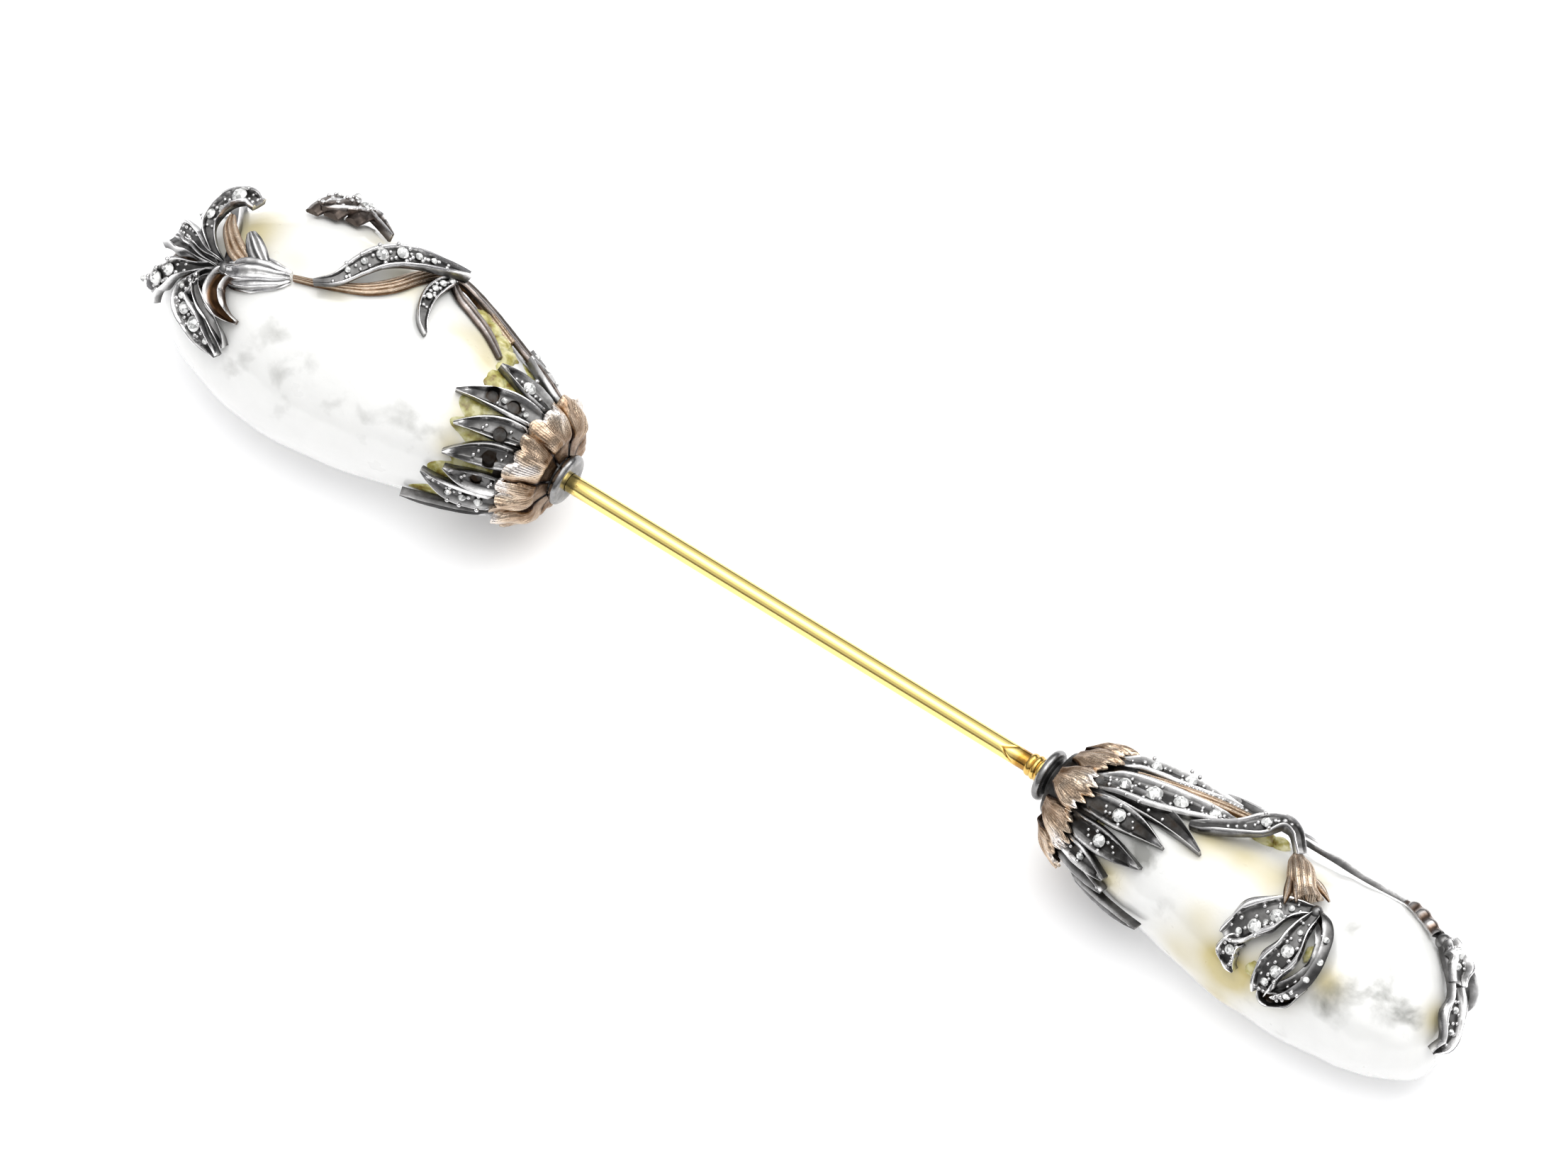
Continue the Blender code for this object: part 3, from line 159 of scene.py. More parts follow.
# Sections of each head: along, half width, half height, shift to +Y, shift up, as shares
LEFT_SECTIONS = (
    (0.025, 0.236, 0.27, 0, 0), (0.049, 0.333, 0.375, 0, 0), (0.095, 0.455, 0.5, 0, 0),
    (0.175, 0.618, 0.648, 0, 0), (0.281, 0.768, 0.788, 0, 0), (0.386, 0.884, 0.895, -0.004, 0),
    (0.491, 0.973, 0.976, -0.007, 0), (0.596, 1, 1, -0.007, 0), (0.702, 0.973, 0.976, -0.014, 0),
    (0.789, 0.877, 0.887, -0.027, 0), (0.867, 0.74, 0.758, -0.048, -0.016),
    (0.926, 0.562, 0.581, -0.068, -0.032), (0.972, 0.356, 0.371, -0.075, -0.048),
    (1, 0, 0, -0.08, -0.05),
)
RIGHT_SECTIONS = (
    (0.03, 0.322, 0.345, -0.005, -0.008), (0.054, 0.405, 0.432, -0.009, -0.03),
    (0.102, 0.54, 0.57, -0.019, -0.075), (0.186, 0.675, 0.696, -0.028, -0.14),
    (0.288, 0.78, 0.8, -0.047, -0.188), (0.407, 0.879, 0.896, -0.075, -0.24),
    (0.542, 0.963, 0.969, -0.093, -0.281), (0.678, 0.991, 1, -0.075, -0.292),
    (0.78, 0.991, 0.99, -0.047, -0.292), (0.864, 0.897, 0.906, -0.065, -0.302),
    (0.932, 0.71, 0.729, -0.103, -0.333), (0.976, 0.467, 0.479, -0.168, -0.375),
    (1, 0, 0, -0.187, -0.396),
)
# Lumps and dents: along, around, reach and height as shares of the half width
LEFT_LUMPS = (
    (0.62, 45, 0.45, -0.016), (0.74, 40, 0.3, 0.014), (0.45, 85, 0.4, 0.014), (0.58, 5, 0.3, 0.016),
    (0.5, -20, 0.28, -0.014), (0.7, 10, 0.25, -0.012), (0.4, 20, 0.32, 0.01), (0.55, 200, 0.5, -0.02),
    (0.72, 250, 0.4, 0.018),
)
RIGHT_LUMPS = (
    (0.44, 128, 0.42, -0.04), (0.62, 20, 0.35, 0.016), (0.87, 75, 0.34, -0.03), (0.76, 88, 0.2, -0.018),
    (0.93, 40, 0.3, 0.02), (0.38, 60, 0.3, 0.014), (0.5, 210, 0.5, -0.022), (0.75, 250, 0.45, 0.016),
)

# Width of a cap leaf along its length: share of the length, share of the half width
LEAF_OUTLINE = (
    (0, 0.66), (0.2, 0.9), (0.42, 1), (0.66, 0.8), (0.82, 0.5), (0.93, 0.28), (1, 0.12),
)
# Cap leaves: root along and around, tip along and around, bend of the middle, half width, layer
LEFT_CAP_LEAVES = (
    (0.08, 123, 0.224, 112, 0, 0.88, 0), (0.078, 102, 0.26, 79, 2, 1, 1),
    (0.078, 80, 0.228, 61, 2, 0.95, 0), (0.074, 56, 0.221, 41, 2, 1, 1),
    (0.08, 24, 0.207, 30, -2, 0.9, 0), (0.085, 3, 0.246, 23, -5, 0.92, 1),
    (0.105, -24, 0.284, -9, 0, 0.7, 0), (0.08, 148, 0.205, 141, 0, 0.9, 1),
    (0.08, 172, 0.235, 168, 0, 0.95, 0), (0.08, 197, 0.25, 200, 0, 1, 1),
    (0.08, 222, 0.23, 226, 0, 0.95, 0), (0.08, 247, 0.25, 248, 0, 1, 1),
    (0.08, 272, 0.23, 270, 0, 0.95, 0), (0.08, 297, 0.245, 296, 0, 1, 1),
    (0.08, 317, 0.225, 318, 0, 0.9, 0),
)
RIGHT_CAP_LEAVES = (
    (0.128, 90, 0.392, 84, 7, 0.95, 0), (0.122, 70, 0.322, 72, 3, 1, 1),
    (0.118, 45, 0.302, 50, 0, 1, 0), (0.11, 23, 0.241, 23, 0, 0.85, 1), (0.1, 3, 0.244, 9, 0, 0.85, 0),
    (0.14, -14, 0.346, 7, -4, 0.55, 1), (0.12, 175, 0.29, 179, 0, 0.95, 0),
    (0.115, 197, 0.27, 200, 0, 0.95, 1), (0.115, 222, 0.29, 224, 0, 0.95, 0),
    (0.115, 247, 0.27, 248, 0, 0.95, 1), (0.115, 272, 0.29, 272, 0, 0.95, 0),
    (0.115, 297, 0.27, 296, 0, 0.95, 1), (0.115, 321, 0.285, 320, 0, 0.95, 0),
)
# Seats in the left cap that lost their stones: along, around, share of the seat's width
EMPTY_SEATS = (
    (0.193, 91, 1), (0.147, 95, 1.05), (0.137, 70, 1.1), (0.133, 49, 1.1), (0.14, 26, 0.9),
)

# Bands: along, around, lift and half width in mm, and where they lean, the lean in degrees
LONG_LEAF = (
    (0.115, 93, 0.16, 0.6), (0.171, 102, 0.18, 0.96), (0.234, 107, 0.2, 1.14), (0.3, 113, 0.2, 1.02),
    (0.368, 120, 0.2, 0.62), (0.405, 125, 0.14, 0.1),
)
FAR_LEAF = (
    (0.12, 132, 0.2, 0.5, 10), (0.18, 143, 0.36, 0.76, 20), (0.25, 147, 0.4, 0.84, 22),
    (0.31, 151, 0.36, 0.66, 18), (0.372, 157, 0.22, 0.16, 0),
)
VINE_LEAF = (
    (0.628, 84, 0.74, 0.16, 0), (0.592, 91, 0.8, 0.42, -12), (0.572, 101, 1, 0.66, -18),
    (0.553, 109, 1.2, 0.76, -20), (0.527, 116, 1.25, 0.76, -20), (0.495, 123, 1.15, 0.7, -16),
    (0.455, 132, 0.98, 0.56, -8), (0.415, 144, 0.88, 0.24, 0),
)
HOOK_LEAF = (
    (0.422, 142, 0.14, 0.12), (0.431, 134, 0.14, 0.4), (0.433, 126, 0.14, 0.5),
    (0.431, 117, 0.14, 0.52), (0.421, 108, 0.14, 0.46), (0.403, 100, 0.12, 0.32), (0.38, 95, 0.1, 0.1),
)
RIGHT_VINE = (
    (0.336, 100, 0.12, 0.24, 0), (0.366, 104, 0.3, 0.46, 0), (0.408, 110, 0.6, 0.54, 0),
    (0.436, 115, 0.95, 0.62, 12), (0.462, 121, 1.32, 0.76, 26), (0.486, 125, 1.62, 0.7, 26),
    (0.512, 126, 1.8, 0.5, 12), (0.534, 123, 1.66, 0.42, 0), (0.548, 120, 1.35, 0.38, 0),
    (0.558, 118, 1, 0.34, 0),
)
FAR_VINE = (
    (0.352, 165, 0.86, 0.2), (0.4, 162, 0.7, 0.5), (0.458, 158, 0.55, 0.62), (0.525, 147, 0.6, 0.6),
    (0.58, 146, 0.45, 0.34), (0.64, 152, 0.2, 0.14), (0.705, 157, 0.12, 0.13), (0.765, 157, 0.12, 0.13),
)
BUD = (
    (0.742, 129, 0.45, 0.24), (0.722, 134, 0.5, 0.74), (0.695, 142, 0.5, 0.8), (0.665, 148, 0.45, 0.66),
    (0.63, 142, 0.32, 0.34), (0.59, 136, 0.16, 0.1),
)
# Scallops of the bud, across its length
BUD_SCALLOPS = (
    (
        (0.754, 126, 0.3, 0.5), (0.748, 134, 0.5, 0.66), (0.742, 147, 0.66, 0.66),
        (0.738, 158, 0.5, 0.3),
    ),
    (
        (0.714, 127, 0.34, 0.56), (0.712, 136, 0.6, 0.72), (0.708, 148, 0.76, 0.7),
        (0.705, 160, 0.5, 0.3),
    ),
    (
        (0.674, 131, 0.3, 0.5), (0.672, 139, 0.5, 0.64), (0.67, 149, 0.6, 0.6), (0.67, 160, 0.4, 0.3),
    ),
)
# Silver vine from the crescent leaf to the cap, and its thin inner branch
LEFT_VINES = (
    (
        (0.44, 141, 0.52, 0.3), (0.405, 147, 0.46, 0.54), (0.36, 150, 0.36, 0.68),
        (0.315, 150, 0.3, 0.66), (0.275, 149, 0.26, 0.62), (0.23, 147, 0.26, 0.6),
        (0.18, 146, 0.3, 0.56), (0.13, 146, 0.34, 0.46), (0.092, 145, 0.36, 0.3),
    ),
    (
        (0.43, 139, 0.26, 0.2), (0.389, 134, 0.18, 0.4), (0.344, 132, 0.12, 0.44),
        (0.301, 129, 0.1, 0.38), (0.27, 125, 0.08, 0.3), (0.237, 119, 0.08, 0.16),
    ),
)
# Far side of the right head: the leaf's upper edge, up to the vine
RIGHT_FAR_LINK = (
    (0.15, 152, 0.1, 0.16), (0.2, 160, 0.12, 0.26), (0.26, 165, 0.2, 0.3), (0.31, 166, 0.36, 0.3),
    (0.36, 165, 0.56, 0.32), (0.41, 162, 0.62, 0.34),
)
LEFT_PETALS = {
    "standard": (
        (0.815, 71, 0.36, 0.26, 0), (0.862, 78, 0.52, 0.28, -10), (0.89, 89, 0.95, 0.48, -22),
        (0.889, 100, 1.35, 0.58, -28), (0.87, 107, 1.7, 0.62, -22), (0.842, 109, 1.75, 0.6, -10),
        (0.824, 107, 1.4, 0.5, 0),
    ),
    "folded": (
        (0.815, 71, 0.4, 0.24, 0), (0.868, 75, 0.66, 0.38, 12), (0.912, 83, 0.9, 0.64, 20),
        (0.946, 88, 0.98, 0.5, 24),
    ),
    "cupped": (
        (0.815, 71, 0.36, 0.26, 0), (0.876, 71, 0.55, 0.34, -8), (0.922, 72, 0.72, 0.56, -20),
        (0.956, 72, 0.84, 0.56, -28),
    ),
    "left": (
        (0.815, 71, 0.34, 0.26, 0), (0.866, 65, 0.5, 0.3, 6), (0.905, 57, 0.76, 0.72, 12),
        (0.932, 43, 0.8, 0.94, 10), (0.936, 26, 0.52, 0.66, 0),
    ),
    "fall": (
        (0.815, 70, 0.32, 0.24), (0.85, 61, 0.42, 0.3), (0.87, 48, 0.45, 0.62), (0.845, 39, 0.36, 0.86),
        (0.8, 34, 0.26, 0.82), (0.736, 30, 0.14, 0.12),
    ),
    "fold": (
        (0.862, 61, 0.55, 0.16, 20), (0.846, 53, 0.62, 0.28, 26), (0.816, 47, 0.6, 0.34, 30),
        (0.782, 43, 0.46, 0.34, 30), (0.753, 40, 0.3, 0.3, 20), (0.732, 36, 0.14, 0.1, 0),
    ),
    "far": (
        (0.815, 72, 0.34, 0.24), (0.862, 100, 0.26, 0.3), (0.912, 128, 0.26, 0.7),
        (0.932, 155, 0.26, 0.8), (0.926, 176, 0.2, 0.2),
    ),
}
# Sepal of the left flower that curls down to a bright hooked tip
LEFT_SEPAL = (
    (0.795, 74, 0.5, 0.4, 0), (0.806, 66, 0.52, 0.7, -10), (0.806, 58, 0.5, 0.9, -16),
    (0.782, 52, 0.4, 0.62, -10), (0.756, 50, 0.32, 0.34, 0), (0.73, 50, 0.24, 0.12, 0),
)
RIGHT_PETALS = {
    "upper": (
        (0.668, 90, 0.6, 0.24, 0), (0.64, 86, 0.66, 0.5, 0), (0.614, 81, 0.7, 0.86, -4),
        (0.588, 74, 0.72, 1.12, -8), (0.566, 65, 0.66, 1.16, -8), (0.546, 56, 0.52, 0.84, 0),
        (0.532, 50, 0.4, 0.3, 0),
    ),
    "lobe": (
        (0.566, 53, 0.3, 0.44), (0.552, 46, 0.36, 0.7), (0.558, 39, 0.28, 0.6), (0.58, 33, 0.14, 0.1),
    ),
    "middle": (
        (0.672, 90, 0.62, 0.24), (0.668, 77, 0.8, 0.56), (0.668, 64, 0.86, 0.9), (0.658, 52, 0.8, 1),
        (0.648, 41, 0.62, 0.86), (0.65, 32, 0.36, 0.5),
    ),
    "ring": (
        (0.674, 90, 0.66, 0.28, 40), (0.704, 84, 0.66, 0.6, 60), (0.728, 75, 0.66, 0.74, 64),
        (0.738, 64, 0.66, 0.78, 64), (0.73, 52, 0.64, 0.76, 60), (0.71, 41, 0.56, 0.66, 52),
        (0.684, 32, 0.4, 0.4, 40),
    ),
    "ruffle": (
        (0.646, 36, 0.4, 0.3), (0.662, 31, 0.42, 0.52), (0.688, 32, 0.46, 0.56),
        (0.712, 38, 0.48, 0.44), (0.73, 47, 0.44, 0.18),
    ),
}
# Petals drawn darker than the others
DARK_PETALS = ("ring", "ruffle")
END_PETALS = {
    "upper": (
        (0.88, 137, 0.4, 0.26), (0.9, 137, 0.62, 0.76), (0.922, 133, 0.78, 1.02),
        (0.945, 121, 0.66, 0.66),
    ),
    "lower": (
        (0.884, 136, 0.34, 0.26), (0.95, 122, 0.3, 0.6), (0.975, 104, 0.52, 1.05),
        (0.985, 76, 0.5, 0.62), (0.98, 55, 0.3, 0.12),
    ),
    "far": (
        (0.882, 138, 0.34, 0.26), (0.905, 163, 0.4, 0.66), (0.935, 198, 0.4, 1),
        (0.92, 225, 0.25, 0.16),
    ),
}
# The left calyx: its bell, the ridge on it, a silver lobe and a gold one
LEFT_BELL = (
    (0.684, 83, 0.1, 0.4), (0.694, 82, 0.06, 0.62), (0.712, 80, 0.06, 0.9), (0.738, 78, 0.06, 1.14),
    (0.766, 75, 0.08, 1.26), (0.79, 72, 0.12, 1.1), (0.808, 71, 0.2, 0.8),
)
LEFT_BELL_RIDGE = (
    (0.742, 79, 0.94, 0.08), (0.772, 76, 1, 0.12), (0.8, 73, 0.9, 0.14), (0.822, 71, 0.74, 0.16),
)
LEFT_NEAR_LOBE = (
    (0.742, 81, 0.6, 0.4), (0.764, 84, 0.92, 0.6), (0.784, 88, 1.16, 0.52), (0.797, 91, 1.3, 0.3),
)
LEFT_GOLD_LOBE = (
    (0.778, 78, 0.6, 0.36), (0.806, 81, 0.86, 0.6), (0.83, 86, 1.04, 0.54), (0.848, 92, 1.22, 0.44),
    (0.856, 98, 1.3, 0.22),
)
# Dark hollows between the left flower's petals
LEFT_THROATS = (
    (
        (0.838, 69, 0.06, 0.5), (0.862, 63, 0.06, 0.9), (0.89, 58, 0.06, 0.9), (0.915, 54, 0.06, 0.4),
    ),
    (
        (0.868, 73, 0.06, 0.4), (0.905, 71, 0.06, 0.8), (0.94, 68, 0.06, 0.9), (0.962, 63, 0.06, 0.5),
    ),
)
# Bells of the right head's two flowers
RIGHT_BELL = (
    (0.556, 118, 0.96, 0.26), (0.568, 113, 0.84, 0.62), (0.586, 108, 0.74, 0.86),
    (0.604, 102, 0.66, 0.92), (0.62, 97, 0.6, 0.9), (0.636, 92, 0.56, 1.12),
)
END_BELL = (
    (0.766, 156, 0.12, 0.18), (0.788, 151, 0.14, 0.46), (0.815, 147, 0.16, 0.58),
    (0.842, 143, 0.2, 0.52), (0.868, 139, 0.26, 0.5),
)
# Hearts that the petals are soldered to: along, around, lift and radius in mm
LEFT_HEART = (0.818, 71, 0.50, 0.50)
RIGHT_HEART = (0.668, 89, 0.82, 0.42)
END_HEART = (0.882, 137, 0.58, 0.50)
LEFT_STEM = (
    (0.25, 140, 0.06, 0.2), (0.29, 143, 0.06, 0.26), (0.33, 146, 0.06, 0.3), (0.37, 150, 0.08, 0.34),
    (0.405, 152, 0.1, 0.36), (0.436, 146, 0.1, 0.36), (0.462, 134, 0.1, 0.42), (0.48, 121, 0.1, 0.5),
    (0.5, 108, 0.1, 0.52), (0.534, 98, 0.1, 0.44), (0.583, 91, 0.1, 0.28), (0.636, 86, 0.1, 0.22),
    (0.678, 83, 0.12, 0.18),
)
RIGHT_GOLD_STEM = (
    (0.176, 120, 0.12, 0.12), (0.21, 124, 0.14, 0.28), (0.255, 129, 0.16, 0.34), (0.31, 135, 0.16, 0.4),
    (0.355, 142, 0.14, 0.38), (0.41, 150, 0.1, 0.16),
)

# Lobes of a gold leaf: centre across, half width, reach, how pointed
LEFT_LOBES = ((-0.58, 0.40, 1.0, 0.0), (0.02, 0.32, 0.92, 0.0), (0.58, 0.40, 0.98, 0.0))
RIGHT_LOBES = (
    (0.0, 0.22, 1.0, 0.5), (-0.32, 0.20, 0.94, 0.5), (0.32, 0.20, 0.94, 0.5),
    (-0.62, 0.20, 0.84, 0.5), (0.62, 0.20, 0.84, 0.5), (-0.86, 0.16, 0.68, 0.5),
    (0.86, 0.16, 0.68, 0.5),
)

# Main stones: what carries them, CAD nodes, lift to look from in mm, and along, around and width
LEFT_STONES = (
    ("left_leaf_cap", "left_leaf_stone_{}", 1.5, (
        (0.152, 118, 0.86), (0.186, 8, 0.46), (0.158, 5, 0.52), (0.128, 2, 0.58),
    )),
    ("left_arched_leaf", "left_vine_stone_{}", 2.6, (
        (0.583, 96, 0.4), (0.568, 103, 0.46), (0.549, 110, 0.8), (0.523, 117, 0.78), (0.497, 122, 0.5),
        (0.473, 127, 0.42),
    )),
    ("left_crescent_leaf", "left_hook_stone_{}", 2, (
        (0.43, 114, 0.44), (0.434, 121, 0.44), (0.433, 128, 0.48), (0.428, 136, 0.5),
    )),
    ("left_iris_flower", "left_standard_stone_1", 3.4, ((0.893, 95, 0.7),)),
    ("left_iris_flower", "left_standard_stone_2", 3.6, ((0.858, 108, 1),)),
    ("left_iris_flower", "left_petal_stone_{}", 2.6, ((0.935, 42, 0.96), (0.915, 54, 0.8))),
    ("left_iris_flower", "left_fall_stone_{}", 2.2, ((0.868, 45, 0.46), (0.85, 40, 0.8), (0.814, 36, 1))),
    ("left_far_bud", "left_bud_stone", 2.6, ((0.68, 145, 0.74),)),
)
RIGHT_STONES = (
    ("right_leaf_cap", "right_long_stone_{}", 1.5, (
        (0.171, 102, 0.82), (0.234, 107, 1.1), (0.29, 112, 0.96), (0.36, 119, 0.8),
    )),
    ("right_leaf_cap", "right_leaf_stone_{}", 1.5, (
        (0.205, 74, 0.88), (0.195, 47, 0.84), (0.172, 23, 0.52),
    )),
    ("right_leaf_cap", "right_far_stone_{}", 1.6, ((0.19, 144, 0.72), (0.262, 148, 0.8))),
    ("right_turned_vine", "right_vine_stone", 3.4, ((0.472, 121, 0.7),)),
    ("right_drooping_flower", "right_petal_stone_{}", 2.6, (
        (0.608, 75, 0.86), (0.58, 64, 0.88), (0.556, 44, 0.66), (0.668, 61, 0.84), (0.666, 48, 0.78),
    )),
    ("right_far_end_flower", "right_end_stone_1", 2.8, ((0.912, 136, 0.86),)),
)
# Small stones in the same way; they stand for no node
LEFT_SMALL_STONES = (
    ("left_far_bud", "", 2.8, ((0.738, 146, 0.5), (0.706, 148, 0.56))),
    ("left_far_bud", "", 2.6, ((0.673, 148, 0.46),)),
    ("left_leaf_cap", "", 1.6, ((0.169, 93, 0.4), (0.12, 96, 0.36))),
    ("left_iris_flower", "", 3.4, ((0.905, 88, 0.36),)),
    ("left_iris_flower", "", 3.6, ((0.88, 101, 0.34),)),
    ("left_iris_flower", "", 2.8, ((0.949, 35, 0.5),)),
    ("left_iris_flower", "", 2.6, ((0.877, 50, 0.34),)),
    ("left_iris_flower", "", 2.2, ((0.774, 32, 0.4),)),
    ("left_silver_vines", "", 2, ((0.2, 149, 0.42), (0.168, 148, 0.42), (0.136, 147, 0.4))),
)
RIGHT_SMALL_STONES = (
    ("right_drooping_flower", "", 2.8, (
        (0.624, 83, 0.4), (0.556, 57, 0.44), (0.596, 69, 0.34), (0.669, 73, 0.36),
    )),
    ("right_drooping_flower", "", 2.6, ((0.652, 39, 0.56),)),
    ("right_drooping_flower", "", 2.8, ((0.724, 75, 0.42), (0.738, 64, 0.42), (0.731, 53, 0.4))),
    ("right_drooping_flower", "", 2.6, ((0.71, 40, 0.4),)),
    ("right_far_end_flower", "", 2.8, (
        (0.9, 150, 0.5), (0.925, 126, 0.54), (0.97, 110, 0.46), (0.982, 90, 0.42),
    )),
    ("right_outer_vine", "", 2.4, (
        (0.16, 144, 0.44), (0.2, 150, 0.5), (0.24, 155, 0.5), (0.285, 160, 0.46),
    )),
)
MAIN_STONE_SEED = 17
SMALL_STONE_SEED = 41

# Beads along leaves and petals: carrier, strip, first and last share, step, places across
LEFT_BEADS = (
    ("left_leaf_cap", LEFT_CAP_LEAVES[0], 0.30, 0.78, 0.40, (0.0,)),
    ("left_leaf_cap", LEFT_CAP_LEAVES[1], 0.30, 0.66, 0.22, (-0.10, 0.34)),
    ("left_leaf_cap", LEFT_CAP_LEAVES[2], 0.30, 0.66, 0.30, (-0.05, 0.26)),
    ("left_leaf_cap", LEFT_CAP_LEAVES[3], 0.24, 0.64, 0.34, (-0.20, 0.22)),
    ("left_leaf_cap", LEFT_CAP_LEAVES[4], 0.26, 0.70, 0.40, (-0.16, 0.20)),
    ("left_leaf_cap", LEFT_CAP_LEAVES[5], 0.20, 0.84, 0.09, (0.0,)),
    ("left_arched_leaf", VINE_LEAF, 0.12, 0.90, 0.075, (-0.28, 0.22)),
    *(("left_far_bud", scallop, 0.30, 0.90, 0.20, (-0.3, 0.3)) for scallop in BUD_SCALLOPS),
    ("left_crescent_leaf", HOOK_LEAF, 0.12, 0.66, 0.09, (-0.25, 0.25)),
    ("left_iris_flower", LEFT_PETALS["standard"], 0.36, 0.92, 0.08, (-0.30, 0.34)),
    ("left_iris_flower", LEFT_PETALS["folded"], 0.60, 0.96, 0.09, (-0.35, 0.0, 0.35)),
    ("left_iris_flower", LEFT_PETALS["left"], 0.40, 0.92, 0.08, (-0.36, 0.36)),
    ("left_iris_flower", LEFT_PETALS["fall"], 0.24, 0.86, 0.065, (-0.42, 0.10, 0.42)),
)
RIGHT_BEADS = (
    ("right_leaf_cap", LONG_LEAF, 0.10, 0.92, 0.085, (-0.34, 0.0, 0.34)),
    ("right_leaf_cap", FAR_LEAF, 0.12, 0.90, 0.090, (-0.40, 0.40)),
    ("right_leaf_cap", RIGHT_CAP_LEAVES[0], 0.24, 0.66, 0.11, (0.25,)),
    ("right_leaf_cap", RIGHT_CAP_LEAVES[1], 0.26, 0.62, 0.32, (-0.20, 0.24)),
    ("right_leaf_cap", RIGHT_CAP_LEAVES[2], 0.26, 0.62, 0.34, (-0.20, 0.22)),
    ("right_leaf_cap", RIGHT_CAP_LEAVES[3], 0.26, 0.70, 0.22, (0.0,)),
    ("right_turned_vine", RIGHT_VINE, 0.22, 0.70, 0.060, (0.0,)),
    ("right_beaded_stem", RIGHT_GOLD_STEM, 0.42, 0.94, 0.030, (-0.30,)),
    ("right_drooping_flower", RIGHT_PETALS["upper"], 0.20, 0.92, 0.16, (-0.42, 0.42)),
    ("right_drooping_flower", RIGHT_PETALS["lobe"], 0.20, 0.80, 0.20, (-0.25, 0.25)),
    ("right_drooping_flower", RIGHT_PETALS["middle"], 0.18, 0.94, 0.15, (-0.32, 0.34)),
    ("right_drooping_flower", RIGHT_PETALS["ring"], 0.14, 0.94, 0.080, (-0.35, 0.35)),
    ("right_drooping_flower", RIGHT_PETALS["ruffle"], 0.10, 0.92, 0.11, (-0.5, 0.0, 0.5)),
    ("right_outer_vine", RIGHT_FAR_LINK, 0.16, 0.90, 0.085, (-0.3, 0.3)),
    ("right_far_end_flower", END_PETALS["upper"], 0.20, 0.90, 0.14, (-0.4, 0.0, 0.4)),
    ("right_far_end_flower", END_PETALS["lower"], 0.25, 0.85, 0.10, (-0.4, 0.0, 0.4)),
)

# Stains on the pearls: along, around, reach in mm, strength
# The grey stains are partly the nacre's own grey and partly painted shade in the dents and on the left
# pearl's lower side
LEFT_GREY_AND_SHADE_STAINS = (
    (0.645, 58, 1.3, 0.41), (0.677, 39, 1, 0.3), (0.702, 25, 1.2, 0.28), (0.565, 54, 1.6, 0.28),
    (0.596, 39, 1.3, 0.33), (0.469, 42, 1.5, 0.25), (0.377, 35, 1.6, 0.3), (0.3, 52, 1.5, 0.39),
    (0.26, 42, 1.2, 0.33), (0.552, 15, 1.6, 0.22), (0.754, 25, 1.4, 0.19), (0.6, -15, 2.2, 0.17),
    (0.35, 5, 1.8, 0.19),
)
LEFT_CREAM_STAINS = (
    (0.822, 96, 1.8, 0.6), (0.85, 116, 1.9, 0.55), (0.488, 115, 1.3, 0.5), (0.587, 90, 1.2, 0.35),
    (0.565, 137, 2.2, 0.4), (0.329, 112, 1.2, 0.4), (0.28, 126, 1.4, 0.5), (0.245, 108, 1.2, 0.6),
    (0.22, 70, 1, 0.6), (0.21, 45, 1, 0.55), (0.7, 92, 1.2, 0.3),
)
RIGHT_GREY_AND_SHADE_STAINS = (
    (0.27, 62, 1.2, 0.95), (0.31, 58, 0.9, 0.6), (0.745, 96, 0.7, 0.8), (0.867, 75, 1.5, 0.85),
    (0.83, 62, 1.1, 0.7), (0.785, 44, 1.3, 0.8), (0.942, 71, 0.8, 0.85), (0.91, 66, 1, 0.6),
    (0.84, 155, 1.1, 0.9), (0.87, 145, 1, 0.8), (0.593, 16, 1.3, 0.35), (0.391, 29, 1.3, 0.35),
    (0.7, -15, 2.2, 0.35),
)
RIGHT_CREAM_STAINS = (
    (0.463, 103, 1.3, 0.6), (0.379, 101, 1.4, 0.7), (0.546, 100, 1.5, 0.6), (0.52, 30, 1.2, 0.75),
    (0.558, 18, 1.5, 0.8), (0.581, 27, 1.2, 0.8), (0.445, 8, 1.6, 0.6), (0.539, -15, 1.5, 0.8),
    (0.761, 56, 1, 0.8), (0.608, 118, 1, 0.5), (0.236, 20, 1.2, 0.75), (0.462, 48, 1.2, 0.4),
    (0.97, 92, 1, 0.75), (0.65, 40, 1.6, 0.7),
)
# Drops of cement: along, around, half sizes along the surface in mm, height in mm
LEFT_PUDDLES = (
    (0.33, 142, 0.9, 0.55, 0.42), (0.3, 140, 0.8, 0.6, 0.44), (0.262, 136, 0.7, 0.8, 0.4),
    (0.232, 129, 0.6, 0.8, 0.34), (0.215, 118, 0.5, 0.6, 0.2), (0.21, 103, 0.8, 0.7, 0.14),
)
RIGHT_PUDDLES = (
    (0.462, 134, 1, 0.6, 0.6), (0.496, 136, 0.7, 0.6, 0.6), (0.7, 66, 0.34, 0.6, 0.4),
    (0.708, 50, 0.3, 0.55, 0.36), (0.612, 38, 0.5, 0.45, 0.16), (0.372, 150, 0.6, 0.8, 0.3),
    (0.33, 140, 0.55, 0.6, 0.24),
)

# The photograph's camera, and the pixels from its middle to the middle of the rod
PHOTO_WIDTH = 2212
PIXELS_PER_MM = 23.5
CAMERA_AZIMUTH = 35.2
CAMERA_ELEVATION = 60.0
CAMERA_LENS = 600.0
MIDDLE_RIGHT = 32
MIDDLE_DOWN = 55
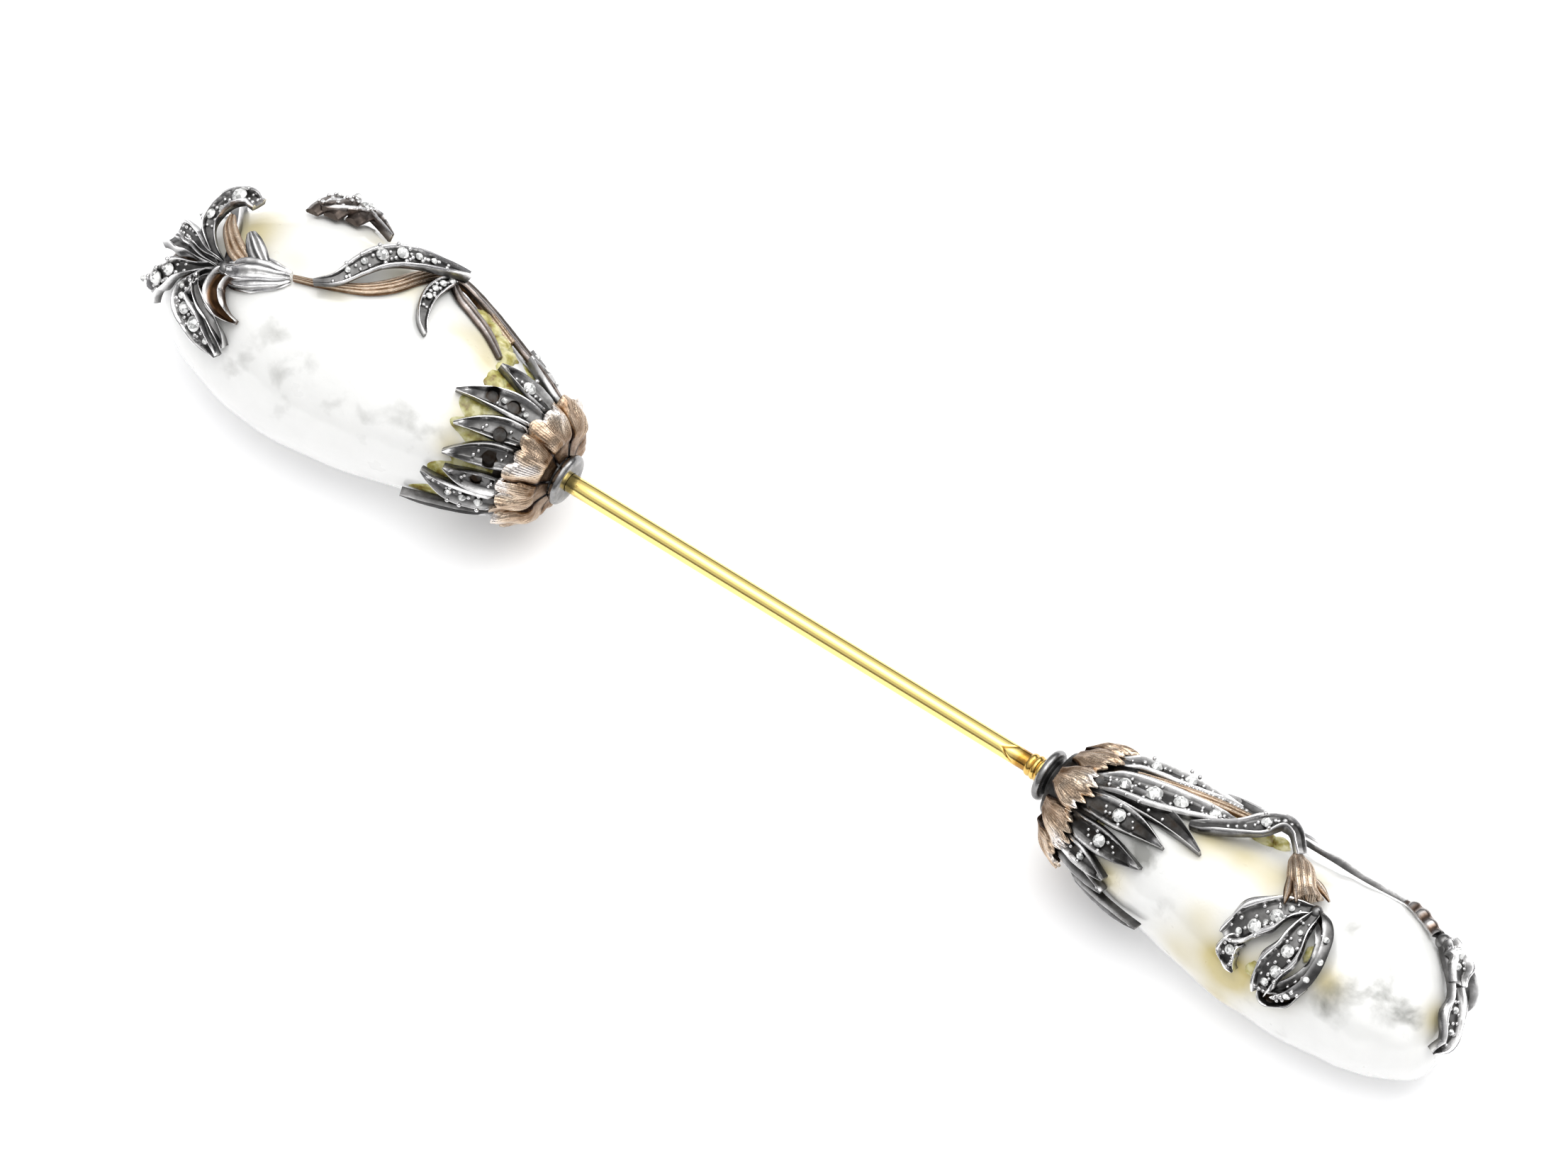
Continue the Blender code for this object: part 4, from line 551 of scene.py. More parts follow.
# Light of the tent from the floor up: place, red and green, blue
TENT = (
    (0.0, 0.55, 0.57), (0.02, 0.15, 0.155), (0.28, 0.22, 0.23), (0.42, 0.66, 0.67),
    (0.70, 0.70, 0.70), (0.80, 1.25, 1.24), (0.90, 1.35, 1.34), (0.94, 3.40, 3.40), (1.0, 3.40, 3.40),
)
KEY_PLACE = Vector((0.10, 0.34, 0.42))
KEY_ENERGY = 0.95
FLOOR_SIZE = 3.0


def linear(code):
    """An sRGB hex colour as linear values."""
    shares = [int(code[i : i + 2], 16) / 255.0 for i in (1, 3, 5)]
    return tuple(c / 12.92 if c <= 0.04045 else ((c + 0.055) / 1.055) ** 2.4 for c in shares)


def colour_property(name, description, code):
    """A colour that the panel shows."""
    return bpy.props.FloatVectorProperty(
        name=name, description=description, subtype="COLOR", size=3, min=0.0, max=1.0,
        default=linear(code),
    )


class PinColours(bpy.types.PropertyGroup):
    """Colours of the pin's metals, pearls and stones."""

    silver_bright: colour_property("Rubbed silver", "Silver where wear keeps it bright", "#f1f0f0")
    silver_dark: colour_property(
        "Oxidised silver", "Silver in the hollows of leaves and petals", "#3f3e3d"
    )
    rose_gold: colour_property("Rose gold", "Frosted gold of the ruffs and stems", "#dfcbb5")
    yellow_gold: colour_property("Yellow gold", "Polished gold of the rod and ferrule", "#ffe590")
    nacre: colour_property("Nacre", "White of the pearls", "#f0f0ee")
    cement: colour_property("Cement", "Old resin that shows between the leaves", "#ada65d")


class PinSizes(bpy.types.PropertyGroup):
    """Sizes of the pin's small details."""

    grain: bpy.props.FloatProperty(
        name="Grain", description="Width of the silver grains that hold the stones",
        unit="LENGTH", default=0.29 * MM, min=0.1 * MM, max=0.5 * MM,
    )
    nacre_relief: bpy.props.FloatProperty(
        name="Nacre relief", description="Height of the small waves on the pearls",
        unit="LENGTH", default=0.08 * MM, min=0.0, max=0.2 * MM,
    )
    soft_box: bpy.props.FloatProperty(
        name="Soft box", description="Width of the key light's soft box",
        unit="LENGTH", default=0.34, min=0.05, max=2.0,
    )


class Head:
    """One pearl head: the side it is on, its length, its half sizes, its sections and its lumps."""

    def __init__(self, side, body, length, size, sections, lumps):
        self.side = side
        self.body = body
        self.start = ROD_SHOWN / 2 + COLLAR_THICKNESS / 2
        self.length = length
        self.half_width = size[0] / 2
        self.half_height = size[1] / 2
        self.lumps = lumps
        self.first = sections[0][0]
        self.cup_start = (COLLAR_THICKNESS / 2 + NECK_LENGTH - CUP_LEAD) / length
        squares = [(row[0], row[1] ** 2, row[2] ** 2, row[3], row[4]) for row in sections]
        self.fine = []
        for step in range(FINE_SECTIONS + 1):
            width, height, aside, up = eased(squares, step / FINE_SECTIONS)
            self.fine.append((
                math.sqrt(max(width, 0.0)) * self.half_width,
                math.sqrt(max(height, 0.0)) * self.half_height,
                aside * self.half_width,
                up * self.half_height,
            ))

    def section(self, along):
        """Half width, half height, shift to +Y and shift up at a share of the length."""
        place = min(max(along, 0.0), 1.0) * FINE_SECTIONS
        step = min(int(place), FINE_SECTIONS - 1)
        part = place - step
        return tuple(a + (b - a) * part for a, b in zip(self.fine[step], self.fine[step + 1]))

    def swell(self, along, around):
        """How far the lumps and dents move the surface out, as a share of its distance."""
        total = 0.0
        for lump_along, lump_around, reach, height in self.lumps:
            across = math.radians((around - lump_around + 180.0) % 360.0 - 180.0) / reach
            ahead = (along - lump_along) * self.length / (reach * self.half_width)
            away = across * across + ahead * ahead
            if away < 9.0:
                total += height * math.exp(-away)
        return 1.0 + total

    def point(self, along, around):
        """The pearl's surface."""
        width, height, aside, up = self.section(along)
        angle = math.radians(around)
        swell = self.swell(along, around)
        return AXIS + Vector((
            self.side * (self.start + along * self.length),
            aside - width * math.cos(angle) * swell,
            up + height * math.sin(angle) * swell,
        ))

    def lifted(self, along, around, lift):
        """A point above the pearl's surface and the direction that is straight out there."""
        along = min(max(along, self.first + NEAR_AHEAD), LAST_PLACE)
        ahead = self.point(along + NEAR_AHEAD, around) - self.point(along - NEAR_AHEAD, around)
        across = self.point(along, around + NEAR_ROUND) - self.point(along, around - NEAR_ROUND)
        out = ahead.cross(across).normalized()
        here = self.point(along, around)
        width, height, aside, up = self.section(along)
        middle = Vector((here.x, AXIS.y + aside, AXIS.z + up))
        if out.dot(here - middle) < 0.0:
            out.negate()
        return here + out * lift, out

    def place(self, point):
        """The along and around of a point near the surface."""
        local = point - AXIS
        along = (self.side * local.x - self.start) / self.length
        inside = min(max(along, self.first), LAST_PLACE)
        width, height, aside, up = self.section(inside)
        around = math.atan2((local.z - up) / height, (aside - local.y) / width)
        return inside, math.degrees(around)


def eased(rows, at):
    """Smooth values of a table at a place between its rows; the first column is the place."""
    last = len(rows) - 1
    at = min(max(at, rows[0][0]), rows[last][0])
    index = 0
    while index < last - 1 and at > rows[index + 1][0]:
        index += 1

    def slope(i, column):
        low, high = rows[max(i - 1, 0)], rows[min(i + 1, last)]
        return (high[column] - low[column]) / (high[0] - low[0])

    start, end = rows[index], rows[index + 1]
    span = end[0] - start[0]
    t = (at - start[0]) / span
    return [
        (2 * t**3 - 3 * t**2 + 1) * start[column]
        + (t**3 - 2 * t**2 + t) * span * slope(index, column)
        + (3 * t**2 - 2 * t**3) * end[column]
        + (t**3 - t**2) * span * slope(index + 1, column)
        for column in range(1, len(start))
    ]


def spread(rows, t):
    """Smooth values of a table whose rows are evenly spaced from 0 to 1."""
    last = len(rows) - 1
    return eased([(index / last, *row) for index, row in enumerate(rows)], t)


LEFT = Head(-1, "pin", LEFT_HEAD_LENGTH, LEFT_PEARL_SIZE, LEFT_SECTIONS, LEFT_LUMPS)
RIGHT = Head(1, "right_head", RIGHT_HEAD_LENGTH, RIGHT_PEARL_SIZE, RIGHT_SECTIONS, RIGHT_LUMPS)


# Materials


def per_mm(size):
    """Noise scale that gives a pattern of this size in millimetres."""
    return 1.0 / (size * MM)


def set_node(tree, node, settings):
    """Set a node's inputs and options; a node or an output given for an input is linked to it."""
    for name, value in settings.items():
        if isinstance(value, bpy.types.Node):
            value = value.outputs.get("Fac") or value.outputs[0]
        if isinstance(value, bpy.types.NodeSocket):
            tree.links.new(value, node.inputs[name])
        elif name == "stops":
            ramp = node.color_ramp
            while len(ramp.elements) < len(value):
                ramp.elements.new(0.5)
            for element, (place, colour) in zip(ramp.elements, value):
                element.position = place
                element.color = (*colour, 1.0)
        elif isinstance(name, int) or name in node.inputs:
            node.inputs[name].default_value = value
        else:
            setattr(node, name, value)


def add_node(tree, kind, settings):
    """Add a node with its settings and links."""
    node = tree.nodes.new("ShaderNode" + kind)
    set_node(tree, node, settings)
    return node


def material(finish):
    """The material of a finish, made once; the finish's function gives its shader's settings."""
    name = finish.__name__
    if name not in bpy.data.materials:
        made = bpy.data.materials.new(name)
        made.use_nodes = True
        tree = made.node_tree
        settings = finish(partial(add_node, tree))
        set_node(tree, tree.nodes["Principled BSDF"], settings)
    return bpy.data.materials[name]


def colours():
    """The colours that the panel shows."""
    return bpy.context.scene.jabot_pin_colours


def sizes():
    """The sizes that the panel shows."""
    return bpy.context.scene.jabot_pin_sizes


def mixed(low, high, share):
    """A colour between two."""
    return tuple(a + (b - a) * share for a, b in zip(low, high))


def rubbed(add, place, patch, detail, roughness, uneven):
    """How rubbed a metal is: its wear with uneven patches of a size in millimetres; on some pieces the
    wear layer also holds painted shade and highlights.
    """
    patches = add("TexNoise", {
        "Vector": place, "Scale": per_mm(patch), "Detail": detail, "Roughness": roughness,
    })
    shift = add("Math", {"operation": "MULTIPLY_ADD", 0: patches, 1: uneven, 2: -uneven / 2})
    wear = add("Attribute", {"attribute_name": "wear"})
    return add("Math", {"operation": "ADD", "use_clamp": True, 0: wear, 1: shift})


def oxidised_silver_rubbed(add):
    """Cut and soldered silver, blackened and rubbed back: dark hollows, bright edges."""
    # Silver that was blackened by sulphur and handled: the eye sees near-black floors, grey
    # walls and white rims, with the slightly uneven face that a graver and a file leave.
    place = add("TexCoord", {}).outputs["Object"]
    wear_and_painted_light = rubbed(add, place, 0.9, 4.0, 0.6, 0.55)
    dark, bright = tuple(colours().silver_dark), tuple(colours().silver_bright)
    # Low values give the dark oxide, and on the leaf under the left head also painted shade
    stops = (
        (0.0, linear("#2c231b")), (0.14, dark), (0.42, mixed(dark, bright, 0.14)),
        (0.68, mixed(dark, bright, 0.46)), (0.95, bright),
    )
    colour = add("ValToRGB", {"stops": stops, "Fac": wear_and_painted_light})
    file_marks = add("TexNoise", {
        "Vector": place, "Scale": per_mm(0.22), "Detail": 3.0, "Roughness": 0.55,
    })
    bare = add("Attribute", {"attribute_name": "copper"})
    tinted = add("Mix", {
        "data_type": "RGBA", "blend_type": "MULTIPLY", 0: bare, 6: colour,
        7: (*linear("#c89468"), 1.0),
    })
    return {
        "Metallic": 1.0,
        "Base Color": tinted.outputs[2],
        "Roughness": add("MapRange", {"Value": wear_and_painted_light, "To Min": 0.40, "To Max": 0.16}),
        "Normal": add("Bump", {"Strength": 0.35, "Distance": 0.03 * MM, "Height": file_marks}),
    }


def rose_gold_engraved(add):
    """Low-carat rose gold, frosted and engraved, with copper in its hollows."""
    # Frosted with a pointed tool and cut with fine lines: a soft pinkish face, coppery hollows, and pale
    # silvery patches where the alloy is rubbed; on the ruffs the pale patches are partly painted
    # highlights and the dark leaf edges are painted shade.
    where = add("TexCoord", {})
    place = where.outputs["Object"]
    wear_and_painted_light = rubbed(add, place, 0.7, 5.0, 0.65, 0.6)
    base = tuple(colours().rose_gold)
    stops = (
        (0.0, linear("#2c1f19")), (0.22, linear("#6e5034")),
        (0.48, mixed(linear("#967455"), base, 0.5)), (0.74, base), (1.0, linear("#eee6e0")),
    )
    colour = add("ValToRGB", {"stops": stops, "Fac": wear_and_painted_light})
    # Real lines lie 0.1 mm apart; this scale draws 22 across a leaf, 0.16 mm apart, so that they show
    lines = add("TexWave", {
        "Vector": where.outputs["UV"], "wave_type": "BANDS", "bands_direction": "X", "Scale": 7.0,
        "Distortion": 1.2, "Detail": 2.0, "Detail Scale": 3.0,
    })
    frost = add("TexNoise", {"Vector": place, "Scale": per_mm(0.12), "Detail": 2.0})
    face = add("Math", {"operation": "MULTIPLY_ADD", 0: lines, 1: 0.45, 2: frost})
    cuts = add("MapRange", {"Value": lines, "To Min": 0.72, "To Max": 1.06})
    engraved = add("Mix", {
        "data_type": "RGBA", "blend_type": "MULTIPLY", 0: 1.0, 6: colour, 7: cuts,
    })
    return {
        "Metallic": 1.0,
        "Base Color": engraved.outputs[2],
        "Roughness": add("MapRange", {"Value": wear_and_painted_light, "To Min": 0.38, "To Max": 0.15}),
        "Normal": add("Bump", {"Strength": 0.8, "Distance": 0.035 * MM, "Height": face}),
    }


def yellow_gold_polished(add):
    """High-carat yellow gold, drawn and polished."""
    # Drawn wire with a buffed face: clear reflections, drawn out a little along the wire, and
    # brown tarnish beside the ferrule.
    place = add("TexCoord", {}).outputs["Object"]
    drawn_out = add("Mapping", {"Vector": place, "Scale": (0.06, 1.0, 1.0)})
    scratches = add("TexNoise", {"Vector": drawn_out, "Scale": per_mm(0.12), "Detail": 3.0})
    spots = add("TexNoise", {"Vector": place, "Scale": per_mm(0.5), "Detail": 4.0})
    tarnish = add("Attribute", {"attribute_name": "tarnish"})
    share = add("Math", {"operation": "MULTIPLY", "use_clamp": True, 0: tarnish, 1: spots})
    stops = (
        (0.0, tuple(colours().yellow_gold)), (0.35, linear("#b98a3c")), (0.8, linear("#5d4638")),
    )
    return {
        "Metallic": 1.0,
        "Base Color": add("ValToRGB", {"stops": stops, "Fac": share}),
        "Roughness": add("MapRange", {"Value": scratches, "To Min": 0.10, "To Max": 0.22}),
        "Normal": add("Bump", {"Strength": 0.12, "Distance": 0.01 * MM, "Height": scratches}),
    }


def nacre_baroque(add):
    """Baroque nacre: white with silver-grey mottling, grey stains that are partly painted shade, and
    cream stains.
    """
    # Layered aragonite with a grown, unpolished skin: soft highlights, grey clouds that are partly the
    # nacre's own grey and partly painted shade in the dips and on the left pearl's lower side, and
    # yellowed skin beside the mounts.
    place = add("TexCoord", {}).outputs["Object"]
    clouds = add("TexNoise", {
        "Vector": place, "Scale": per_mm(1.7), "Detail": 4.0, "Roughness": 0.50, "Distortion": 0.2,
    })
    mottle = add("MapRange", {"Value": clouds, "From Min": 0.34, "From Max": 0.66})
    patchy = add("Math", {"operation": "MULTIPLY_ADD", 0: mottle, 1: 0.75, 2: 0.35})
    # The grey layer is partly the nacre's own grey and partly painted shade in the dents and on the lower
    # side
    grey = add("Attribute", {"attribute_name": "grey"})
    grey_stain_and_shade = add("Math", {"operation": "MULTIPLY", 0: grey, 1: patchy})
    greyness_and_shade = add("Math", {
        "operation": "MULTIPLY_ADD", "use_clamp": True, 0: mottle, 1: 0.20, 2: grey_stain_and_shade,
    })
    stops = (
        (0.0, tuple(colours().nacre)), (0.30, linear("#ececea")), (0.65, linear("#cacac7")),
        (1.0, linear("#9a9a96")),
    )
    stained = add("Mix", {
        "data_type": "RGBA", "blend_type": "MULTIPLY",
        0: add("Attribute", {"attribute_name": "cream"}),
        6: add("ValToRGB", {"stops": stops, "Fac": greyness_and_shade}),
        7: (*linear("#d9c98a"), 1.0),
    })
    growth = add("TexNoise", {
        "Vector": place, "Scale": per_mm(0.7), "Detail": 3.0, "Distortion": 0.4,
    })
    return {
        "IOR": 1.53, "Subsurface Weight": 0.12, "Subsurface Radius": (1.0, 0.95, 0.9),
        "Subsurface Scale": 0.5 * MM, "Coat Weight": 0.8, "Coat Roughness": 0.08,
        "Base Color": stained.outputs[2],
        "Roughness": add("MapRange", {"Value": clouds, "To Min": 0.22, "To Max": 0.38}),
        "Normal": add("Bump", {"Strength": 0.5, "Distance": 0.05 * MM, "Height": growth}),
    }


def diamond_rose_cut(add):
    """Rose-cut diamond in a closed, darkened seat."""
    # Old hand-cut facets over a dark seat: each facet is painted with a reflection of its own, white,
    # grey or clear to the dark seat, with hard small highlights.
    place = add("TexCoord", {}).outputs["Object"]
    flaws_and_glints = add("TexNoise", {"Vector": place, "Scale": per_mm(0.35), "Detail": 3.0})
    # Painted reflections: the facet layer gives each facet its white, grey or dark
    facet = add("Attribute", {"attribute_name": "facet"})
    share = add("Math", {
        "operation": "MULTIPLY_ADD", "use_clamp": True, 0: flaws_and_glints, 1: 0.35, 2: facet,
    })
    stops = ((0.05, linear("#5f6162")), (0.45, linear("#b4b5b3")), (0.85, linear("#f8f8f6")))
    return {
        "IOR": 2.42, "Roughness": 0.04,
        "Base Color": add("ValToRGB", {"stops": stops, "Fac": share}),
    }


def resin_cement_aged(add):
    """Aged resin cement, olive and amber."""
    # Resin that was pressed out and set glossy: greenish yellow where it is thin, amber where
    # it is thick.
    place = add("TexCoord", {}).outputs["Object"]
    patches = add("TexNoise", {"Vector": place, "Scale": per_mm(0.7), "Detail": 4.0})
    stops = ((0.34, linear("#7a6224")), (0.46, tuple(colours().cement)), (0.60, linear("#d8d2a4")))
    return {
        "IOR": 1.54, "Roughness": 0.28, "Subsurface Weight": 0.4,
        "Subsurface Scale": 0.3 * MM, "Subsurface Radius": (1.0, 0.8, 0.3),
        "Base Color": add("ValToRGB", {"stops": stops, "Fac": patches}),
    }


def opal_board(add):
    """Opal acrylic of a light table: the light that comes through it softens the shadows."""
    return {
        "Roughness": 0.9, "Base Color": (*linear("#f7f7f8"), 1.0), "Specular IOR Level": 0.2,
        "Emission Color": (1.0, 1.0, 1.0, 1.0), "Emission Strength": 0.16,
    }


FINISHES = {
    "oxidised_silver": oxidised_silver_rubbed, "rose_gold": rose_gold_engraved,
    "yellow_gold": yellow_gold_polished, "nacre": nacre_baroque, "diamond": diamond_rose_cut,
}


# Shapes


def smooth(low, high, value):
    """0 below low, 1 above high, eased between."""
    t = min(max((value - low) / (high - low), 0.0), 1.0)
    return t * t * (3.0 - 2.0 * t)


def new_shape():
    """An empty bmesh with the layers that the materials read."""
    bm = bmesh.new()
    bm.loops.layers.uv.new("strip")
    # Besides wear, this layer holds painted shade and painted highlights on a few pieces
    bm.verts.layers.float.new("wear")
    return bm


def redden(bm, share):
    """Let copper show in the hollows of a shape."""
    wear = bm.verts.layers.float["wear"]
    copper = bm.verts.layers.float.new("copper")
    for vert in bm.verts:
        vert[copper] = share * (1.0 - smooth(0.35, 0.80, vert[wear]))


def new_object(name, bm):
    """An object with a bmesh's shape, which is used up."""
    mesh = bpy.data.meshes.new(name)
    bm.to_mesh(mesh)
    bm.free()
    item = bpy.data.objects.new(name, mesh)
    bpy.context.scene.collection.objects.link(item)
    return item


def piece(name, bm, body, slot, node=None, sharp=EDGE_ANGLE, finish=None):
    """A finished piece at the origin that rides a body and stands for its CAD node."""
    bmesh.ops.recalc_face_normals(bm, faces=bm.faces[:])
    item = new_object(name, bm)
    item.data.materials.append(material(finish or FINISHES[slot]))
    item.data.shade_smooth()
    item.data.set_sharp_from_angle(angle=math.radians(sharp))
    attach(item, body)
    if node:
        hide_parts(node)
    return item


def raise_slab(bm, lower, spot, place):
    """Give a flat grid its outer face, and put each point where place(*spot, top) says."""
    wear = bm.verts.layers.float["wear"]
    faces = list({face for vert in lower for face in vert.link_faces})
    raised = bmesh.ops.extrude_face_region(bm, geom=faces, use_keep_orig=True)
    upper = {item for item in raised["geom"] if isinstance(item, bmesh.types.BMVert)}
    for vert in lower | upper:
        s, t = spot(vert.co)
        vert.co, vert[wear] = place(s, round(t, 6), vert in upper)


def add_sheet(bm, columns, rows, place):
    """A closed slab from a grid: place(s, t, top) gives each point and its wear.

    s runs from -1 to 1 across and t from 0 to 1 along it, and top is True on the outer face.
    """
    grid = bmesh.ops.create_grid(bm, x_segments=columns, y_segments=rows, size=1.0, calc_uvs=True)
    raise_slab(bm, set(grid["verts"]), lambda co: (co.x, (co.y + 1.0) / 2.0), place)


def add_ring(bm, columns, rows, place):
    """A closed ring-shaped slab from a grid wrapped once round: place(around, t, top)."""
    grid = bmesh.ops.create_grid(bm, x_segments=columns, y_segments=rows, size=1.0, calc_uvs=True)
    verts = grid["verts"]
    for vert in verts:
        angle, radius = math.pi * vert.co.x, 2.0 + vert.co.y
        vert.co = (radius * math.cos(angle), radius * math.sin(angle), 0.0)
    seam = [vert for vert in verts if abs(vert.co.y) < 1e-4 and vert.co.x < 0.0]
    bmesh.ops.remove_doubles(bm, verts=seam, dist=1e-4)

    def spot(co):
        return math.degrees(math.atan2(co.y, co.x)), (co.xy.length - 1.0) / 2.0

    raise_slab(bm, {vert for vert in verts if vert.is_valid}, spot, place)


def rim_share(edge, t):
    """0 on the sunk floor of a leaf and at its root, 1 on its rounded rim."""
    return smooth(0.48, 0.74, edge) * (1.0 - 0.6 * smooth(0.84, 1.0, edge)) * min(t / 0.16, 1.0)


def spread_across(s):
    """Grid columns moved towards the edges, where the rim is."""
    return math.copysign(abs(s) ** 0.5, s)


def hand_cut(point, size=0.5, height=0.014):
    """The small unevenness of hand-cut metal at a point, in metres."""
    return noise.noise(point * per_mm(size)) * height * MM


@cache
def band_frame(head, rows, t):
    """Centre, direction across, direction out and half width of a band at t."""

    def lifted(at):
        along, around, lift = spread(rows, at)[:3]
        return head.lifted(along, around, lift * MM)

    centre, out = lifted(t)
    before, after = lifted(max(t - BAND_STEP, 0.0))[0], lifted(min(t + BAND_STEP, 1.0))[0]
    ahead = (after - before).normalized()
    out = (out - ahead * out.dot(ahead)).normalized()
    aside = ahead.cross(out) * head.side
    half_width, lean = (*spread(rows, t), 0.0)[3:5]
    turn = Matrix.Rotation(math.radians(lean) * head.side, 3, ahead)
    return centre, turn @ aside, turn @ out, half_width * MM


def add_band(
    bm, head, rows, thickness=BAND_THICKNESS, rim=BAND_RIM, bowl=0.10 * MM, columns=18, wave=0.0,
    wear_and_painted_light=0.28,
):
    """A petal, leaf or vine: a strip with rounded rims and a sunk floor that follows its rows."""

    def place(s, t, top):
        centre, aside, out, half_width = band_frame(head, rows, t)
        s = spread_across(s)
        half_width *= 1.0 + wave * math.sin(17.0 * t + 2.0 * s + rows[0][0] * 40.0)
        centre = centre + out * (wave * MM * math.sin(13.0 * t + rows[0][1]) * s * s)
        if not top:
            return centre + aside * (s * 0.9 * half_width), 0.25
        share = rim_share(abs(s), t)
        sunk = bowl * (1.0 - share) * smooth(0.0, 0.12, t) * (1.0 - smooth(0.9, 1.0, t))
        point = centre + aside * (s * half_width) + out * (thickness + rim * share - sunk)
        tip = 0.35 * smooth(0.86, 1.0, t)
        return point + out * hand_cut(point, 0.4, 0.024), min(wear_and_painted_light + 0.70 * share + tip, 1.0)

    add_sheet(bm, columns, 6 * len(rows), place)


def add_ribbed(bm, head, rows, thickness, ribs, depth, columns=20, contrast=0.45):
    """A stem or calyx: a strip with a crowned top and ribs along it."""

    def place(s, t, top):
        centre, aside, out, half_width = band_frame(head, rows, t)
        if not top:
            return centre + aside * (s * 0.94 * half_width), 0.2
        wave = math.cos(math.pi * ribs * s) * depth
        crown = thickness * (1.0 - 0.62 * s * s)
        point = centre + aside * (s * half_width) + out * (crown + wave * (1.0 - s * s))
        return point + out * hand_cut(point), 0.5 + contrast * math.cos(math.pi * ribs * s)

    add_sheet(bm, columns, 7 * len(rows), place)


def add_dome(bm, head, rows, flutes=0, depth=0.0, rings=0, swell=0.9, wear_and_painted_light=0.8):
    """A bell or knob: a half-round strip, fluted along or ringed across."""

    def place(s, t, top):
        centre, aside, out, half_width = band_frame(head, rows, t)
        angle = s * math.pi / 2
        cuts = 0.5 + 0.5 * math.cos(2.0 * math.pi * flutes * s) if flutes else 1.0
        if rings:
            cuts = 0.5 + 0.5 * math.cos(2.0 * math.pi * rings * t)
        reach = half_width - depth * (1.0 - cuts)
        if not top:
            return centre + aside * (math.sin(angle) * reach * 0.9), wear_and_painted_light
        height = half_width * swell * math.cos(angle) - depth * (1.0 - cuts)
        point = centre + aside * (math.sin(angle) * reach) + out * (max(height, 0.0) + 0.10 * MM)
        return point + out * hand_cut(point, 0.5, 0.04), wear_and_painted_light * (0.6 + 0.4 * cuts)

    add_sheet(bm, 36, 9 * len(rows), place)


def add_knob(bm, head, heart):
    """A rounded lump of metal that holds petals together."""
    wear = bm.verts.layers.float["wear"]
    along, around, lift, radius = heart
    centre = head.lifted(along, around, lift * MM)[0]
    made = bmesh.ops.create_icosphere(
        bm, subdivisions=4, radius=radius * MM, matrix=Matrix.Translation(centre)
    )
    for vert in made["verts"]:
        vert[wear] = 0.45


def make_strips(name, head, node, slot, strips, copper=0.0):
    """A piece of strips: each is its adding function, its rows and that function's measures."""
    bm = new_shape()
    for add, rows, *measures in strips:
        add(bm, head, rows, *measures)
    if copper:
        redden(bm, copper)
    piece(name, bm, head.body, slot, node)


def make_flower(name, head, node, petals, heart):
    """A flower: a heart of metal with its rimmed petals soldered to it."""
    strips = [(add_knob, heart)]
    for petal, rows in petals.items():
        wear_and_painted_light = 0.06 if petal in DARK_PETALS else 0.28
        strips.append((add_band, rows, PETAL_THICKNESS, PETAL_RIM, PETAL_BOWL, 20, PETAL_WAVE, wear_and_painted_light))
    make_strips(name, head, node, "oxidised_silver", strips)


def make_left_calyx():
    """The left calyx: a rubbed silver bell with a lobe, a rose-gold lobe and a curled sepal."""
    make_strips("left_silver_bell", LEFT, "left_calyx", "oxidised_silver", (
        (add_dome, LEFT_BELL, 3, 0.10 * MM, 0, 0.9, 0.95),
        (add_ribbed, LEFT_BELL_RIDGE, 0.14 * MM, 1, 0.02 * MM),
        (add_ribbed, LEFT_NEAR_LOBE, 0.34 * MM, 3, 0.04 * MM, 24, 0.25),
    ))
    make_strips("left_gold_lobes", LEFT, None, "rose_gold", (
        (add_ribbed, LEFT_GOLD_LOBE, 0.36 * MM, 3, 0.035 * MM, 24, 0.20),
    ))
    throats = [(add_dome, rows, 1, 0.05 * MM, 0, 0.35, 0.20) for rows in LEFT_THROATS]
    sepal = (add_band, LEFT_SEPAL, 0.34 * MM, 0.22 * MM, 0.20 * MM, 20, 0.05)
    make_strips("left_curled_sepal", LEFT, None, "oxidised_silver", (sepal, *throats), 1.0)


def make_right_calyxes():
    """The right flower's fluted bell with claw tips, and the end flower's ringed one."""
    strips = [(add_dome, RIGHT_BELL, 3, 0.07 * MM, 0, 0.9, 0.75)]
    for step in range(-2, 3):
        # The claws on the left stand out and the others lie close
        ahead, turned = 0.010 * step, 4.0 * step
        flare = 0.30 * max(-step, 0) - 0.22 * max(step, 0)
        claw = (
            (0.594 + ahead * 0.6, 103 + turned * 0.6, 0.94 + 0.2 * flare, 0.18),
            (0.620 + ahead, 97 + turned, 1.02 + 0.6 * flare, 0.26),
            (0.642 + ahead * 1.5, 91 + turned * 1.2, 0.98 + flare, 0.06),
        )
        strips.append((add_ribbed, claw, 0.24 * MM, 1, 0.02 * MM))
    make_strips("right_fluted_bell", RIGHT, "right_calyx", "rose_gold", strips)
    bell = (add_dome, END_BELL, 0, 0.10 * MM, 4, 1.0, 0.7)
    make_strips("right_ringed_bell", RIGHT, "right_end_calyx", "oxidised_silver", (bell,), 0.8)


